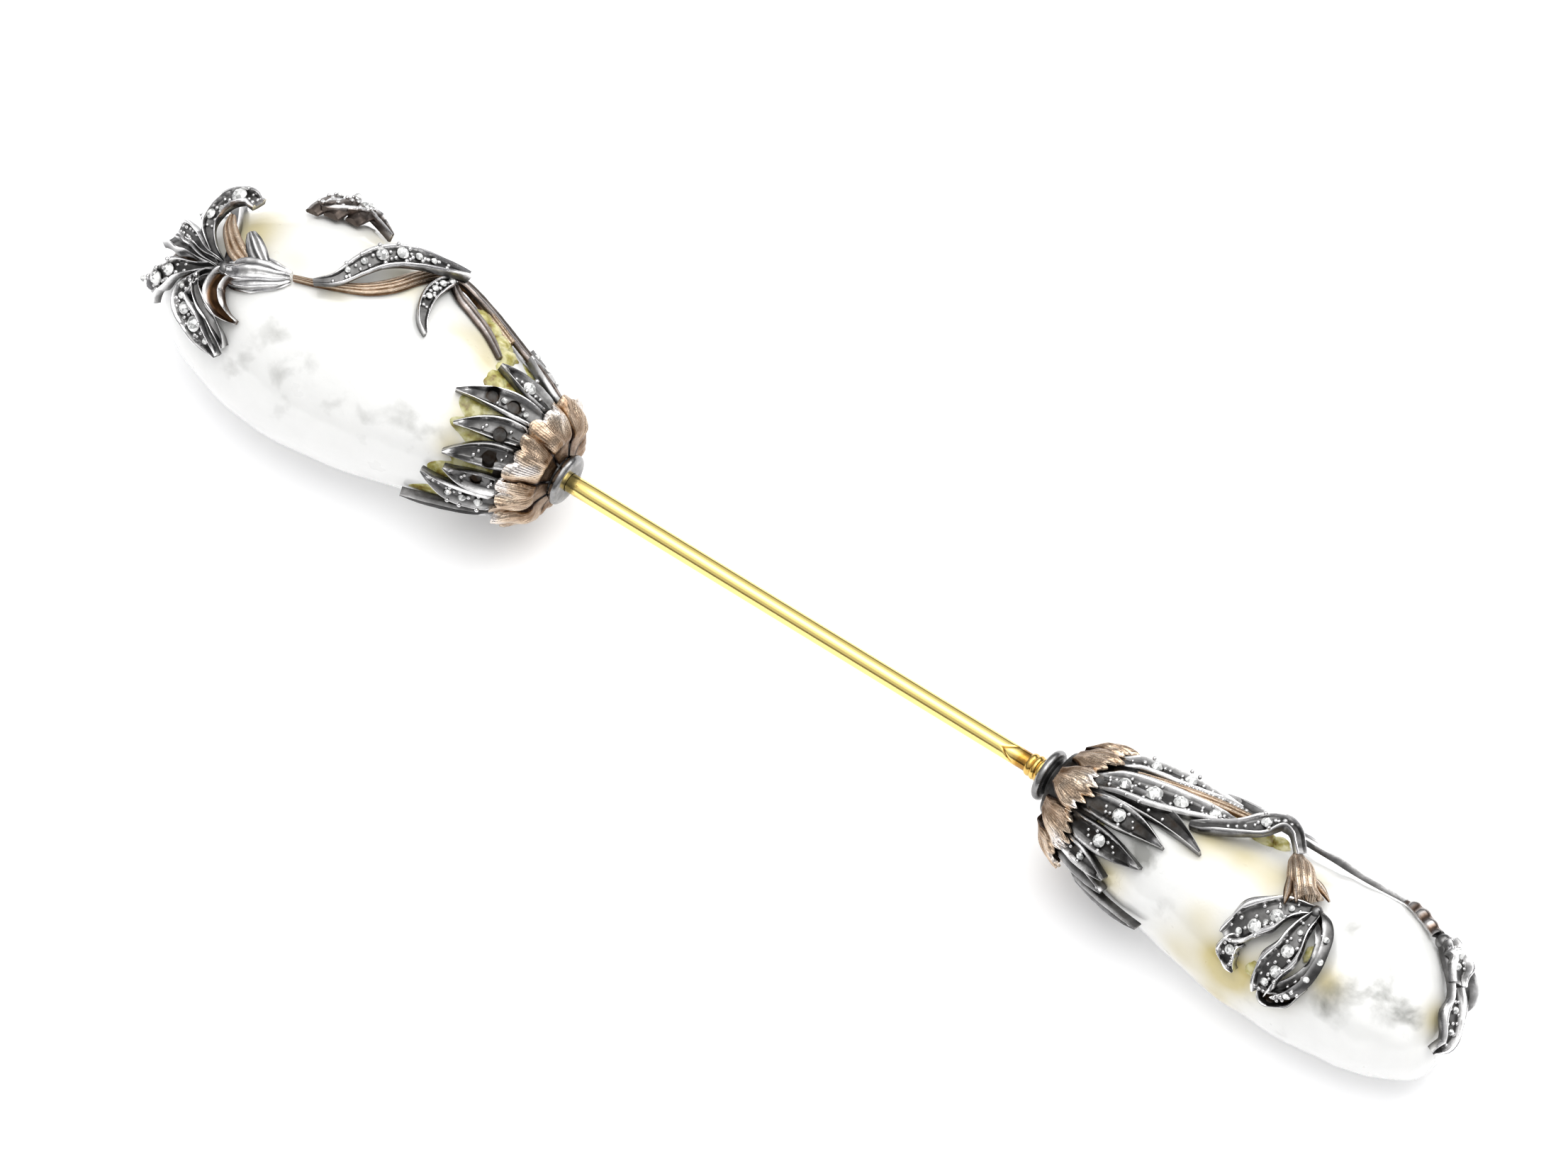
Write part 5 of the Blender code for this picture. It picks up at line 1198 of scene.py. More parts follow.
def add_turned(bm, start, side, profile, steps=48):
    """A profile of radius, distance and wear, turned about the rod's axis."""
    wear = bm.verts.layers.float["wear"]
    before = set(bm.verts)
    verts = []
    for radius, distance, wear_and_painted_light in profile:
        vert = bm.verts.new(AXIS + Vector((start + side * distance, 0.0, radius)))
        vert[wear] = wear_and_painted_light
        verts.append(vert)
    edges = [bm.edges.new(pair) for pair in zip(verts, verts[1:])]
    bmesh.ops.spin(
        bm, geom=verts + edges, cent=AXIS, axis=(1.0, 0.0, 0.0), dvec=(0.0, 0.0, 0.0),
        angle=2.0 * math.pi, steps=steps, use_merge=True, use_duplicate=False,
    )
    made = [vert for vert in bm.verts if vert not in before]
    bmesh.ops.remove_doubles(bm, verts=made, dist=1e-7)


# Caps and ruffs


def leaf_middle(leaf, t):
    """Along and around of the middle of a cap leaf at t."""
    root_along, root_around, tip_along, tip_around, bend = leaf[:5]
    along = root_along + (tip_along - root_along) * t
    return along, root_around + (tip_around - root_around) * t + bend * math.sin(math.pi * t)


def leaf_half_width(leaf, t):
    """Half width of a cap leaf at t."""
    return eased(LEAF_OUTLINE, t)[0] * leaf[5] * LEAF_HALF_WIDTH


def leaf_underside(leaf):
    """How high above the pearl a cap leaf lies."""
    return LEAF_UNDERSIDE + leaf[6] * LEAF_LAYER


@cache
def leaf_frame(head, leaf, t):
    """Centre, direction across and half width of a cap leaf at t."""
    centre, out = head.lifted(*leaf_middle(leaf, t), 0.0)
    before = head.lifted(*leaf_middle(leaf, t - LEAF_STEP), 0.0)[0]
    ahead = head.lifted(*leaf_middle(leaf, t + LEAF_STEP), 0.0)[0] - before
    return centre, ahead.cross(out).normalized() * head.side, leaf_half_width(leaf, t)


def add_cap_leaf(bm, head, leaf):
    """A cap leaf that lies on the pearl: rounded rims that meet at the tip, grooves at the root."""

    def place(s, t, top):
        centre, aside, half_width = leaf_frame(head, leaf, t)
        s = spread_across(s)
        edge = abs(s)
        share = max(rim_share(edge, t), (1.0 - 0.4 * edge) * smooth(0.78, 0.92, t))
        height, wear_and_painted_light = 0.0, 0.2
        if top:
            floor = 0.14 * MM * (1.0 - share) * smooth(0.0, 0.2, t) * (1.0 - smooth(0.9, 1.0, t))
            grooves = 0.05 * MM * math.cos(edge * 13.0) * (1.0 - smooth(0.3, 0.6, t))
            height = LEAF_THICKNESS + LEAF_RIM * share - floor + grooves * (1.0 - share)
            wear_and_painted_light = 0.32 + 0.44 * share if head is LEFT else 0.14 + 0.60 * share
            # The leaf that turns under the left head is darkened: painted shade on the head's underside
            wear_and_painted_light -= 0.34 * smooth(-12.0, -22.0, leaf[1])
        across = s * half_width * (1.0 if top else 0.92)
        here = head.place(centre + aside * across)
        point, out = head.lifted(*here, leaf_underside(leaf) + height)
        return (point + out * hand_cut(point, 0.4, 0.028) if top else point), wear_and_painted_light

    add_sheet(bm, 14, 18, place)


def collar_profile(head, peg_radius, peg_end, bore, bore_end):
    """Collar, neck, flange and peg in fine steps: radius, distance and wear."""
    half = COLLAR_THICKNESS / 2
    edge = COLLAR_DIAMETER / 2
    neck = NECK_DIAMETER / 2
    flange_start = half + NECK_LENGTH
    flange_end = flange_start + FLANGE_THICKNESS
    width, height, aside, up = head.section((flange_start + flange_end) / 2 / head.length)
    flange = min(width, height) + CUP_UNDERSIDE + CUP_THICKNESS * 0.6
    rim = []
    for step in range(13):
        angle = math.pi / 2 - math.pi * step / 12
        rim.append((edge - half + half * math.cos(angle), half * math.sin(angle), 0.52))
    return (
        (0.0, peg_end, 0.1),
        (peg_radius, peg_end, 0.1),
        (peg_radius, flange_end, 0.1),
        (flange, flange_end, 0.1),
        (flange, flange_start, 0.1),
        (neck + NECK_LENGTH * 0.35, flange_start - NECK_LENGTH * 0.35, 0.25),
        (neck + NECK_LENGTH * 0.08, flange_start - NECK_LENGTH * 0.62, 0.30),
        (neck + NECK_LENGTH * 0.06, half + NECK_LENGTH * 0.16, 0.25),
        (neck + NECK_LENGTH * 0.26, half * 0.98, 0.45),
        *rim,
        (edge * 0.60, -half * 1.0, 0.42),
        (bore, -half * 0.98, 0.4),
        (bore, bore_end, 0.1),
        (0.0, bore_end, 0.1),
    )


def add_cup(bm, head, end):
    """The cup that holds the pearl's end."""

    def place(around, t, top):
        along = head.cup_start + (end - head.cup_start) * t
        return head.lifted(along, around, CUP_UNDERSIDE + CUP_THICKNESS * top)[0], 0.12

    add_ring(bm, 72, 6, place)


def seat_cutter(head, along, around, width, bottom):
    """A slightly flared round cutter for a seat that lost its stone."""
    centre, out = head.lifted(along, around, bottom + SEAT_CUT_DEPTH / 2)
    bm = new_shape()
    bmesh.ops.create_cone(
        bm, cap_ends=True, segments=20, radius1=width * 0.46, radius2=width * 0.66,
        depth=SEAT_CUT_DEPTH,
        matrix=Matrix.Translation(centre) @ out.to_track_quat("Z", "Y").to_matrix().to_4x4(),
    )
    return bm


def cut(bm, cutters):
    """The shape with the cutters taken from it."""
    body = new_object("cut_body", bm)
    tools = [new_object("cut_tool", cutter) for cutter in cutters]
    for tool in tools:
        modifier = body.modifiers.new("cut", "BOOLEAN")
        modifier.operation = "DIFFERENCE"
        modifier.solver = "EXACT"
        modifier.object = tool
    graph = bpy.context.evaluated_depsgraph_get()
    mesh = bpy.data.meshes.new_from_object(body.evaluated_get(graph))
    made = bmesh.new()
    made.from_mesh(mesh)
    bpy.data.meshes.remove(mesh)
    for item in [body] + tools:
        old = item.data
        bpy.data.objects.remove(item, do_unlink=True)
        bpy.data.meshes.remove(old)
    return made


def darken_seats(bm, head, level):
    """Keep the bottoms of empty seats dark."""
    wear = bm.verts.layers.float["wear"]
    for along, around, width in EMPTY_SEATS:
        bottom, out = head.lifted(along, around, level)
        for vert in bm.verts:
            away = vert.co - bottom
            high = away.dot(out)
            if high < 0.16 * MM and (away - out * high).length < width * EMPTY_SEAT_WIDTH * 0.54:
                vert[wear] = 0.08


def make_cap(name, head, node, profile, leaves, cup_end, bands):
    """Collar, neck, cup and leaves of one cap, with its empty seats cut."""
    bm = new_shape()
    add_turned(bm, head.side * head.start, head.side, profile)
    add_cup(bm, head, cup_end)
    for row in leaves:
        leaf = new_shape()
        add_cap_leaf(leaf, head, row)
        level = leaf_underside(row)
        middle = head.lifted((row[0] + row[2]) / 2, (row[1] + row[3]) / 2, 0.0)[0]
        tools = []
        for along, around, width in EMPTY_SEATS if head is LEFT else ():
            if (head.lifted(along, around, 0.0)[0] - middle).length < SEAT_REACH:
                bottom = level + SEAT_FLOOR
                tools.append(seat_cutter(head, along, around, width * EMPTY_SEAT_WIDTH, bottom))
        if tools:
            leaf = cut(leaf, tools)
            darken_seats(leaf, head, level)
        mesh = bpy.data.meshes.new("leaf")
        leaf.to_mesh(mesh)
        leaf.free()
        bm.from_mesh(mesh)
        bpy.data.meshes.remove(mesh)
    for rows in bands:
        add_band(bm, head, rows, LEAF_THICKNESS, LEAF_RIM, 0.12 * MM, 18)
    piece(name, bm, head.body, "oxidised_silver", node)


def lobed(s, lobes, web):
    """How far a lobed leaf reaches at s across: the furthest of its lobes, or the web."""
    reach = web
    for centre, half_width, top, point in lobes:
        off = abs(s - centre) / half_width
        if off < 1.0:
            round_end = math.sqrt(max(1.0 - off * off, 0.0))
            shape = point * (1.0 - off) + (1.0 - point) * round_end
            reach = max(reach, web + (top - web) * shape)
    return reach


def ruff_point(head, root, along, around, lift):
    """A point of a ruff: on the pearl's form, and drawn in to the neck at its root."""
    point = head.lifted(max(along, head.cup_start), around, lift)[0]
    drawn_in = 1.0 - smooth(root, head.cup_start + 0.015, along)
    angle = math.radians(around)
    clear = 0.40 * MM if head is LEFT else 0.12 * MM
    radius = NECK_DIAMETER / 2 + clear + (along - root) * head.length * 2.2
    ring = AXIS + Vector((
        head.side * (head.start + along * head.length),
        -radius * math.cos(angle),
        radius * math.sin(angle),
    ))
    return point.lerp(ring, drawn_in)


def add_gold_leaf(bm, head, centre, root, end, lobes, fold, layer, seed):
    """One lobed gold leaf of a ruff: lobes puffed beside their folds, tips turned over."""
    base = CUP_UNDERSIDE + CUP_THICKNESS + METAL_GAP + layer
    half_angle = 180.0 / GOLD_LEAVES * 1.14
    web, root_share = (0.66, 0.78) if head is LEFT else (0.56, 0.50)

    def place(s, t, top):
        reach = t * lobed(s, lobes, web)
        along = root + (end - root) * reach
        halves = math.sin(math.pi * min(abs(s), 1.0)) ** 0.6
        whole = math.cos(0.5 * math.pi * min(abs(s), 1.0)) ** 0.5
        crease = math.exp(-(((s - 0.06) / 0.07) ** 2)) * smooth(0.1, 0.5, t)
        puff = (0.15 * halves + 0.85 * whole - 0.16 * crease) * smooth(0.0, 0.5, t)
        tip = smooth(0.84, 1.0, t)
        rumple = noise.noise(Vector((s * 2.2 + seed, t * 2.4, seed * 0.7))) * 0.50 * MM * t
        lift = base + GOLD_FLARE * reach + fold * puff - 0.14 * MM * tip + rumple
        lift -= 0.36 * MM * smooth(0.66, 1.0, abs(s)) * t
        around = centre + s * half_angle * (root_share + (1.0 - root_share) * smooth(0.0, 0.7, t))
        point = ruff_point(head, root, along, around, lift + GOLD_THICKNESS * top)
        # The bright noise lightens patches: painted highlights, where the metal is also rubbed glossy
        bright = noise.noise(Vector((s * 1.3 + seed * 2.0, t * 1.5, 4.0 + seed)))
        wear_and_painted_light = 0.30 + 0.36 * puff * smooth(0.05, 0.8, t) + 0.20 * smooth(0.88, 0.98, t)
        # The last term darkens each leaf's edges: painted shade where the leaves meet
        wear_and_painted_light += 1.20 * max(bright, -0.14) * t - 0.50 * smooth(0.80, 1.0, abs(s))
        return point, min(max(wear_and_painted_light, 0.0), 1.0)

    add_sheet(bm, 48, 20, place)


def make_ruff(name, head, node, root, end, turn, lobes, fold):
    """The ruff of lobed gold leaves over the silver leaves' roots."""
    bm = new_shape()
    for index in range(GOLD_LEAVES):
        centre = turn + (index + 0.5) * 360.0 / GOLD_LEAVES
        low = 0.86 if head is RIGHT and math.sin(math.radians(centre)) < 0.2 else 1.0
        uneven = 1.0 + 0.05 * noise.noise(Vector((index * 1.7, 2.0, 5.0)))
        reach = root + (end - root) * low * uneven
        layer = GOLD_LAYER * (index % 2)
        add_gold_leaf(bm, head, centre, root, reach, lobes, fold, layer, index + 3.0 * head.side)
    piece(name, bm, head.body, "rose_gold", node, SOFT_EDGE_ANGLE)


# Pearls and rod


def stain(head, point, rows):
    """How strongly a point is stained."""
    total = 0.0
    for along, around, reach, strength in rows:
        away = (point - head.point(along, around)).length / (reach * MM)
        total += strength * math.exp(-away * away)
    return min(total, 1.0)


def make_pearl(name, head, node, peg_radius, peg_end, grey_and_shade_stains, cream_stains):
    """A pearl: a sphere moved to the head's form, waved, stained, given painted shade and drilled for its
    peg.
    """
    start = (COLLAR_THICKNESS / 2 + NECK_LENGTH + FLANGE_THICKNESS + PEARL_GAP) / head.length
    bm = new_shape()
    grey = bm.verts.layers.float.new("grey")
    cream = bm.verts.layers.float.new("cream")
    bmesh.ops.create_uvsphere(bm, u_segments=PEARL_SEGMENTS, v_segments=PEARL_RINGS, radius=1.0)
    pole = None
    for vert in bm.verts:
        ring = round(math.acos(max(min(vert.co.z, 1.0), -1.0)) / math.pi * PEARL_RINGS)
        share = max(ring - 1, 0) / (PEARL_RINGS - 1)
        along = start + (1.0 - start) * (1.0 - math.cos(math.pi * share)) / 2.0
        around = math.degrees(math.atan2(vert.co.y, vert.co.x))
        if ring == 0:
            pole = vert
            continue
        point = head.point(along, around)
        wave = noise.noise(point / WAVE_SIZE) + 0.40 * noise.noise(point / RIPPLE_SIZE)
        wave *= 2.0 if head is RIGHT else 1.0
        free = smooth(start + 0.02, start + 0.2, along)
        middle = Vector((point.x, AXIS.y, AXIS.z))
        out = (point - middle).normalized() if along < 0.97 else Vector((head.side, 0.0, 0.0))
        vert.co = point + out * wave * sizes().nacre_relief * free
        # The grey stains paint shade in the dents and on the lower side, as well as the nacre's own grey
        vert[grey] = stain(head, point, grey_and_shade_stains)
        vert[cream] = stain(head, point, cream_stains)
    bmesh.ops.delete(bm, geom=[pole], context="VERTS")
    bore = peg_radius + PEARL_GAP
    mouth = [edge for edge in bm.edges if edge.is_boundary]
    for radius, depth in ((bore, 0.0), (bore, peg_end - start * head.length + PEARL_GAP * 2)):
        made = bmesh.ops.extrude_edge_only(bm, edges=mouth)["geom"]
        mouth = [item for item in made if isinstance(item, bmesh.types.BMEdge) and item.is_boundary]
        for vert in (item for item in made if isinstance(item, bmesh.types.BMVert)):
            across = Vector((0.0, vert.co.y - AXIS.y, vert.co.z - AXIS.z)).normalized()
            vert.co = Vector((vert.co.x + head.side * depth, AXIS.y, AXIS.z)) + across * radius
    bmesh.ops.contextual_create(bm, geom=mouth)
    piece(name, bm, head.body, "nacre", node, SOFT_EDGE_ANGLE)


def rod_notch(point):
    """Depth of the v-shaped mark on the rod beside the ferrule."""
    x = point.x - AXIS.x
    turn = math.degrees(math.atan2(point.z - AXIS.z, AXIS.y - point.y))
    off = abs((turn - NOTCH_TURN + 180.0) % 360.0 - 180.0)
    line = RIGHT.start - NOTCH_PLACE + min(off, NOTCH_ARM) * NOTCH_SLOPE
    depth = NOTCH_DEPTH * math.exp(-(((x - line) / NOTCH_WIDTH) ** 2))
    return depth * (1.0 - smooth(NOTCH_ARM - 10.0, NOTCH_ARM + 2.0, off))


def make_rod():
    """The rod with its point in the right head, its v-shaped mark and its tarnish."""
    left = -ROD_SHOWN / 2 - ROD_SEATED
    tip = ROD_HIGH.x - AXIS.x
    marked = RIGHT.start - MARKED_START
    profile = [(0.0, left, 0.0), (ROD_RADIUS * 0.94, left, 0.0), (ROD_RADIUS, left + 0.04 * MM, 0.0)]
    for step in range(12):
        profile.append((ROD_RADIUS, left + (marked - left) * (step + 1) / 12, 0.0))
    for step in range(60):
        profile.append((ROD_RADIUS, marked + MARKED_LENGTH * (step + 1) / 60, 0.0))
    profile += [
        (ROD_RADIUS, tip - ROD_POINT, 0.0), (ROD_RADIUS * 0.60, tip - ROD_POINT * 0.4, 0.0),
        (ROD_RADIUS * 0.16, tip, 0.0), (0.0, tip, 0.0),
    ]
    bm = new_shape()
    tarnish = bm.verts.layers.float.new("tarnish")
    add_turned(bm, 0.0, 1, profile, 64)
    for vert in bm.verts:
        across = Vector((0.0, vert.co.y - AXIS.y, vert.co.z - AXIS.z))
        x = vert.co.x - AXIS.x
        vert[tarnish] = smooth(RIGHT.start - TARNISH_START, RIGHT.start - TARNISH_FULL, x)
        if across.length > ROD_RADIUS * 0.9:
            depth = rod_notch(vert.co)
            vert[tarnish] = min(vert[tarnish] + depth / NOTCH_DEPTH, 1.0)
            vert.co -= across.normalized() * depth
    piece("pin_gold_rod", bm, "pin", "yellow_gold", "pin_rod")


def make_ferrule():
    """The stepped ring of three beads on the rod, against the right collar."""
    inner = ROD_RADIUS + FERRULE_CLEARANCE
    end = -COLLAR_THICKNESS / 2 - COLLAR_CLEARANCE
    profile = [(inner, end, 0.0)]
    for bead in range(FERRULE_BEADS):
        for step in range(7):
            swell = math.sin(math.pi * step / 6) ** 0.8 if 0 < step < 6 else 0.0
            far = end - FERRULE_LENGTH * (bead + step / 6.0) / FERRULE_BEADS
            height = (0.45 + 0.55 * swell) * (1.0 - 0.22 * bead)
            profile.append((inner + FERRULE_WALL * height, far, 0.0))
    profile += [(inner, end - FERRULE_LENGTH, 0.0), (inner, end, 0.0)]
    bm = new_shape()
    tarnish = bm.verts.layers.float.new("tarnish")
    add_turned(bm, RIGHT.start, 1, profile, 48)
    for vert in bm.verts:
        vert[tarnish] = 0.45
    piece("pin_gold_ferrule", bm, "pin", "yellow_gold", "pin_ferrule")


# Stones and grains


def finished_trees(names):
    """The finished surfaces of some pieces, for finding where a stone or a grain sits."""
    trees = {}
    for name in names:
        if name not in bpy.data.objects:
            raise RuntimeError(f"{name} has to be made before its stones")
        bm = bmesh.new()
        bm.from_mesh(bpy.data.objects[name].data)
        trees[name] = BVHTree.FromBMesh(bm)
        bm.free()
    return trees


def each_stone(groups):
    """Node, carrier, place, lift and width of every stone, in order."""
    for carrier, node, lift, stones in groups:
        for number, (along, around, width) in enumerate(stones, 1):
            yield node.format(number), carrier, (along, around, lift * MM), width * MM


def seat_of(tree, head, spot, width):
    """Where a stone of this width sits on its carrier, and the way that it faces."""
    probe, out = head.lifted(*spot)
    first = tree.ray_cast(probe, -out, spot[2] + MM)
    centre = first[0] or tree.find_nearest(probe)[0]
    axis = out.copy()
    flat = out.to_track_quat("Z", "Y").to_matrix()
    levels = [0.0]
    for index in range(SEAT_PROBES):
        angle = 2.0 * math.pi * index / SEAT_PROBES
        offset = flat @ Vector((math.cos(angle), math.sin(angle), 0.0)) * (width * 0.3)
        hit, normal, face, distance = tree.ray_cast(centre + offset + out * width, -out, 2.0 * width)
        if hit is not None and normal.dot(out) > 0.7:
            axis += normal
            levels.append((hit - centre).dot(out))
    axis.normalize()
    level = sorted(levels)[len(levels) // 2] + STONE_LIFT
    return centre + axis * level, axis.to_track_quat("Z", "Y").to_matrix()


def add_stone(bm, seat, turn, width, seed):
    """A rose cut: a round girdle, a ring of star facets and a small table."""
    facet = bm.faces.layers.float["facet"]
    radius = width / 2
    spin = noise.noise(Vector((seed * 3.7, 1.3, 0.4))) * math.pi
    height = width * (0.40 + 0.05 * noise.noise(Vector((seed * 1.9, 7.7, 0.1))))
    # Points, share of the radius, share of the height and turn of each ring
    rings = (
        (12, 0.90, -0.25, 0.0), (12, 1.0, 0.10, 0.0), (6, 0.66, 0.72, 0.26), (6, 0.30, 1.0, 0.0),
    )
    verts = []
    for count, share, level, shift in rings:
        for index in range(count):
            angle = 2.0 * math.pi * (index / count) + shift + spin
            uneven = 1.0 + 0.05 * noise.noise(Vector((seed * 2.3 + index, share * 4.0, 0.9)))
            local = Vector((math.cos(angle) * radius * share * uneven,
                            math.sin(angle) * radius * share * uneven, level * height))
            verts.append(bm.verts.new(seat + turn @ local))
    made = bmesh.ops.convex_hull(bm, input=verts)
    # Each facet gets a random painted reflection, from dark grey to white
    for face in (item for item in made["geom"] if isinstance(item, bmesh.types.BMFace)):
        value = noise.noise(face.calc_center_median() * 6100.0 + Vector((seed * 0.7, 0.0, 0.0)))
        face[facet] = min(max(0.48 + 1.1 * value, 0.0), 1.0)


def new_stones():
    """An empty bmesh for stones, with the layer that their material reads."""
    bm = bmesh.new()
    bm.faces.layers.float.new("facet")
    return bm


def make_stones(head, groups):
    """Each main stone of a head, as a piece that stands for its CAD node."""
    trees = finished_trees({group[0] for group in groups})
    for number, (node, carrier, spot, width) in enumerate(each_stone(groups)):
        bm = new_stones()
        seat, turn = seat_of(trees[carrier], head, spot, width)
        add_stone(bm, seat, turn, width, number + MAIN_STONE_SEED * head.side)
        piece(node + "_cut", bm, head.body, "diamond", node).data.shade_flat()


def make_small_stones(name, head, groups):
    """The small stones of a head, in one piece."""
    trees = finished_trees({group[0] for group in groups})
    bm = new_stones()
    for number, (node, carrier, spot, width) in enumerate(each_stone(groups)):
        seat, turn = seat_of(trees[carrier], head, spot, width)
        add_stone(bm, seat, turn, width, number + SMALL_STONE_SEED * head.side)
    piece(name, bm, head.body, "diamond").data.shade_flat()


def add_grain(bm, centre, width):
    """One silver grain pressed up from the metal."""
    wear = bm.verts.layers.float["wear"]
    made = bmesh.ops.create_icosphere(
        bm, subdivisions=2, radius=width / 2, matrix=Matrix.Translation(centre)
    )
    for vert in made["verts"]:
        vert[wear] = 0.85


def strip_point(head, strip, t, s):
    """A point over a cap leaf or a band, and the way out there."""
    if isinstance(strip[0], tuple):
        centre, aside, out, half_width = band_frame(head, strip, t)
        return centre + aside * (s * half_width) + out * MM, out
    centre, out = head.lifted(*leaf_middle(strip, t), MM)
    across = Vector((1.0, 0.0, 0.0)).cross(out).normalized()
    return centre + across * (s * leaf_half_width(strip, t)), out


def add_stone_grains(bm, trees, head, groups, taken):
    """Grains round each main stone; taken gets the room that the stones and grains fill."""
    grain = sizes().grain
    for number, (node, carrier, spot, width) in enumerate(each_stone(groups)):
        seat, turn = seat_of(trees[carrier], head, spot, width)
        taken.append((seat, width / 2 + 0.12 * MM))
        out = turn @ Vector((0.0, 0.0, 1.0))
        count = 4 if width > 0.6 * MM else 2
        for index in range(count):
            angle = 2.0 * math.pi * (index + 0.5) / count + 0.6 * noise.noise(
                Vector((number * 1.3, index * 2.1, head.side))
            )
            away = width / 2 + grain * 0.60
            offset = turn @ Vector((math.cos(angle), math.sin(angle), 0.0)) * away
            hit = trees[carrier].ray_cast(seat + offset + out * MM, -out, 1.5 * MM)[0]
            if hit is None or (hit - seat - offset).length > 0.4 * MM:
                continue
            add_grain(bm, hit + out * grain * 0.25, grain)
            taken.append((hit, grain * 0.6))


def add_beads(bm, tree, head, strip, first, last, step, sides, taken):
    """Beads along a strip, where the room isn't taken."""
    grain = sizes().grain
    for index in range(int((last - first) / step) + 1):
        for side in sides:
            at = first + step * index + 0.35 * step * noise.noise(Vector((index * 1.9, side, first)))
            probe, out = strip_point(head, strip, at, side)
            hit, normal, face, distance = tree.ray_cast(probe, -out, 2.2 * MM)
            if hit is None or normal.dot(out) < 0.5:
                continue
            if any((hit - spot).length < room for spot, room in taken):
                continue
            size = grain * (0.92 + 0.30 * noise.noise(hit * 5000.0))
            add_grain(bm, hit + out * size * 0.22, size)
            taken.append((hit, grain * 0.8))


def make_grains(name, head, groups, strips):
    """Grains round each main stone of a head, and beads along the floors of its leaves."""
    bm = new_shape()
    taken = []
    trees = finished_trees({row[0] for row in groups + strips})
    add_stone_grains(bm, trees, head, groups, taken)
    for along, around, width in EMPTY_SEATS if head is LEFT else ():
        taken.append((head.lifted(along, around, 0.4 * MM)[0], width * EMPTY_SEAT_WIDTH * 0.62))
    for carrier, *beads in strips:
        add_beads(bm, trees[carrier], head, *beads, taken)
    piece(name, bm, head.body, "oxidised_silver")


# Cement


def make_cement(name, head, leaves, share, seed):
    """A thin uneven film of cement on the pearl, which follows the cap's leaves."""
    bm = new_shape()
    start = head.cup_start + 0.02

    def reach(around):
        furthest = 0.0
        for leaf in leaves:
            off = (around - leaf[3] + 180.0) % 360.0 - 180.0
            near = math.exp(-((off / FILM_SPREAD) ** 2))
            furthest = max(furthest, leaf[0] + (leaf[2] - leaf[0]) * share * near)
        angle = math.radians(around)
        swell = noise.noise(Vector((math.cos(angle) * 3.1, math.sin(angle) * 3.1, seed)))
        return max(furthest, start + 0.03) * (1.0 + 0.10 * swell)

    def place(around, t, top):
        lift = (FILM_THICKNESS * (1.0 - t**3) + FILM_EDGE) * top - FILM_SUNK * (1 - top)
        return head.lifted(start + (reach(around) - start) * t, around, lift)[0], 0.5

    add_ring(bm, 216, 10, place)
    piece(name, bm, head.body, "rose_gold", finish=resin_cement_aged)


def make_puddles(name, head, rows):
    """Drops of cement that were pressed out beside stems and under petals."""
    bm = new_shape()
    wear = bm.verts.layers.float["wear"]
    for along, around, ahead, across, height in rows:
        centre, out = head.lifted(along, around, 0.0)
        flat = out.to_track_quat("Z", "Y").to_matrix()
        made = bmesh.ops.create_icosphere(bm, subdivisions=4, radius=1.0)
        for vert in made["verts"]:
            local = vert.co.copy()
            ragged = 1.0 + 0.30 * noise.noise(local * 1.7 + centre * 900.0)
            away = flat @ Vector((local.x * ahead, local.y * across, 0.0)) * (ragged * MM)
            vert.co = head.lifted(*head.place(centre + away), max(local.z, -0.25) * height * MM)[0]
            vert[wear] = 0.5
    piece(name, bm, head.body, "rose_gold", finish=resin_cement_aged)


# Stage


def aimed(item, place, target):
    """Put a light or camera at a place and turn it to a target."""
    item.location = place
    item.rotation_mode = "QUATERNION"
    item.rotation_quaternion = (target - place).to_track_quat("-Z", "Y")
    bpy.context.scene.collection.objects.link(item)


def make_camera():
    """A long lens that looks down across the pin."""
    azimuth, elevation = math.radians(CAMERA_AZIMUTH), math.radians(CAMERA_ELEVATION)
    back = Vector((
        math.sin(azimuth) * math.cos(elevation),
        -math.cos(azimuth) * math.cos(elevation),
        math.sin(elevation),
    ))
    right = Vector((math.cos(azimuth), math.sin(azimuth), 0.0))
    pixel = MM / PIXELS_PER_MM
    data = bpy.data.cameras.new("jabot_pin_camera")
    data.sensor_width = 36.0
    data.lens = CAMERA_LENS
    data.clip_end = 20.0
    distance = PHOTO_WIDTH * pixel * data.lens / data.sensor_width
    target = AXIS - right * (MIDDLE_RIGHT * pixel) + back.cross(right) * (MIDDLE_DOWN * pixel)
    camera = bpy.data.objects.new("jabot_pin_camera", data)
    aimed(camera, target + back * distance, target)
    bpy.context.scene.camera = camera


def make_lights():
    """A soft box behind the pin on the right, and a tent that is brightest overhead."""
    world = bpy.data.worlds.new("soft_tent")
    bpy.context.scene.world = world
    world.use_nodes = True
    tree = world.node_tree
    where = add_node(tree, "TexCoord", {})
    parts = add_node(tree, "SeparateXYZ", {0: where.outputs["Generated"]})
    stops = [(place, (level, level, blue)) for place, level, blue in TENT]
    tent = add_node(tree, "ValToRGB", {"stops": stops, "Fac": parts.outputs["Z"]})
    set_node(tree, tree.nodes["Background"], {"Color": tent, "Strength": 1.0})
    key = bpy.data.lights.new("key_soft_box", "AREA")
    key.shape = "SQUARE"
    key.size = sizes().soft_box
    key.energy = KEY_ENERGY
    box = bpy.data.objects.new("key_soft_box", key)
    aimed(box, AXIS + KEY_PLACE, AXIS)
    box.visible_camera = False


def make_floor():
    """A plain pale floor."""
    bm = bmesh.new()
    bmesh.ops.create_grid(bm, x_segments=8, y_segments=8, size=FLOOR_SIZE)
    floor = new_object("pale_floor", bm)
    floor.data.materials.append(material(opal_board))


# Operators


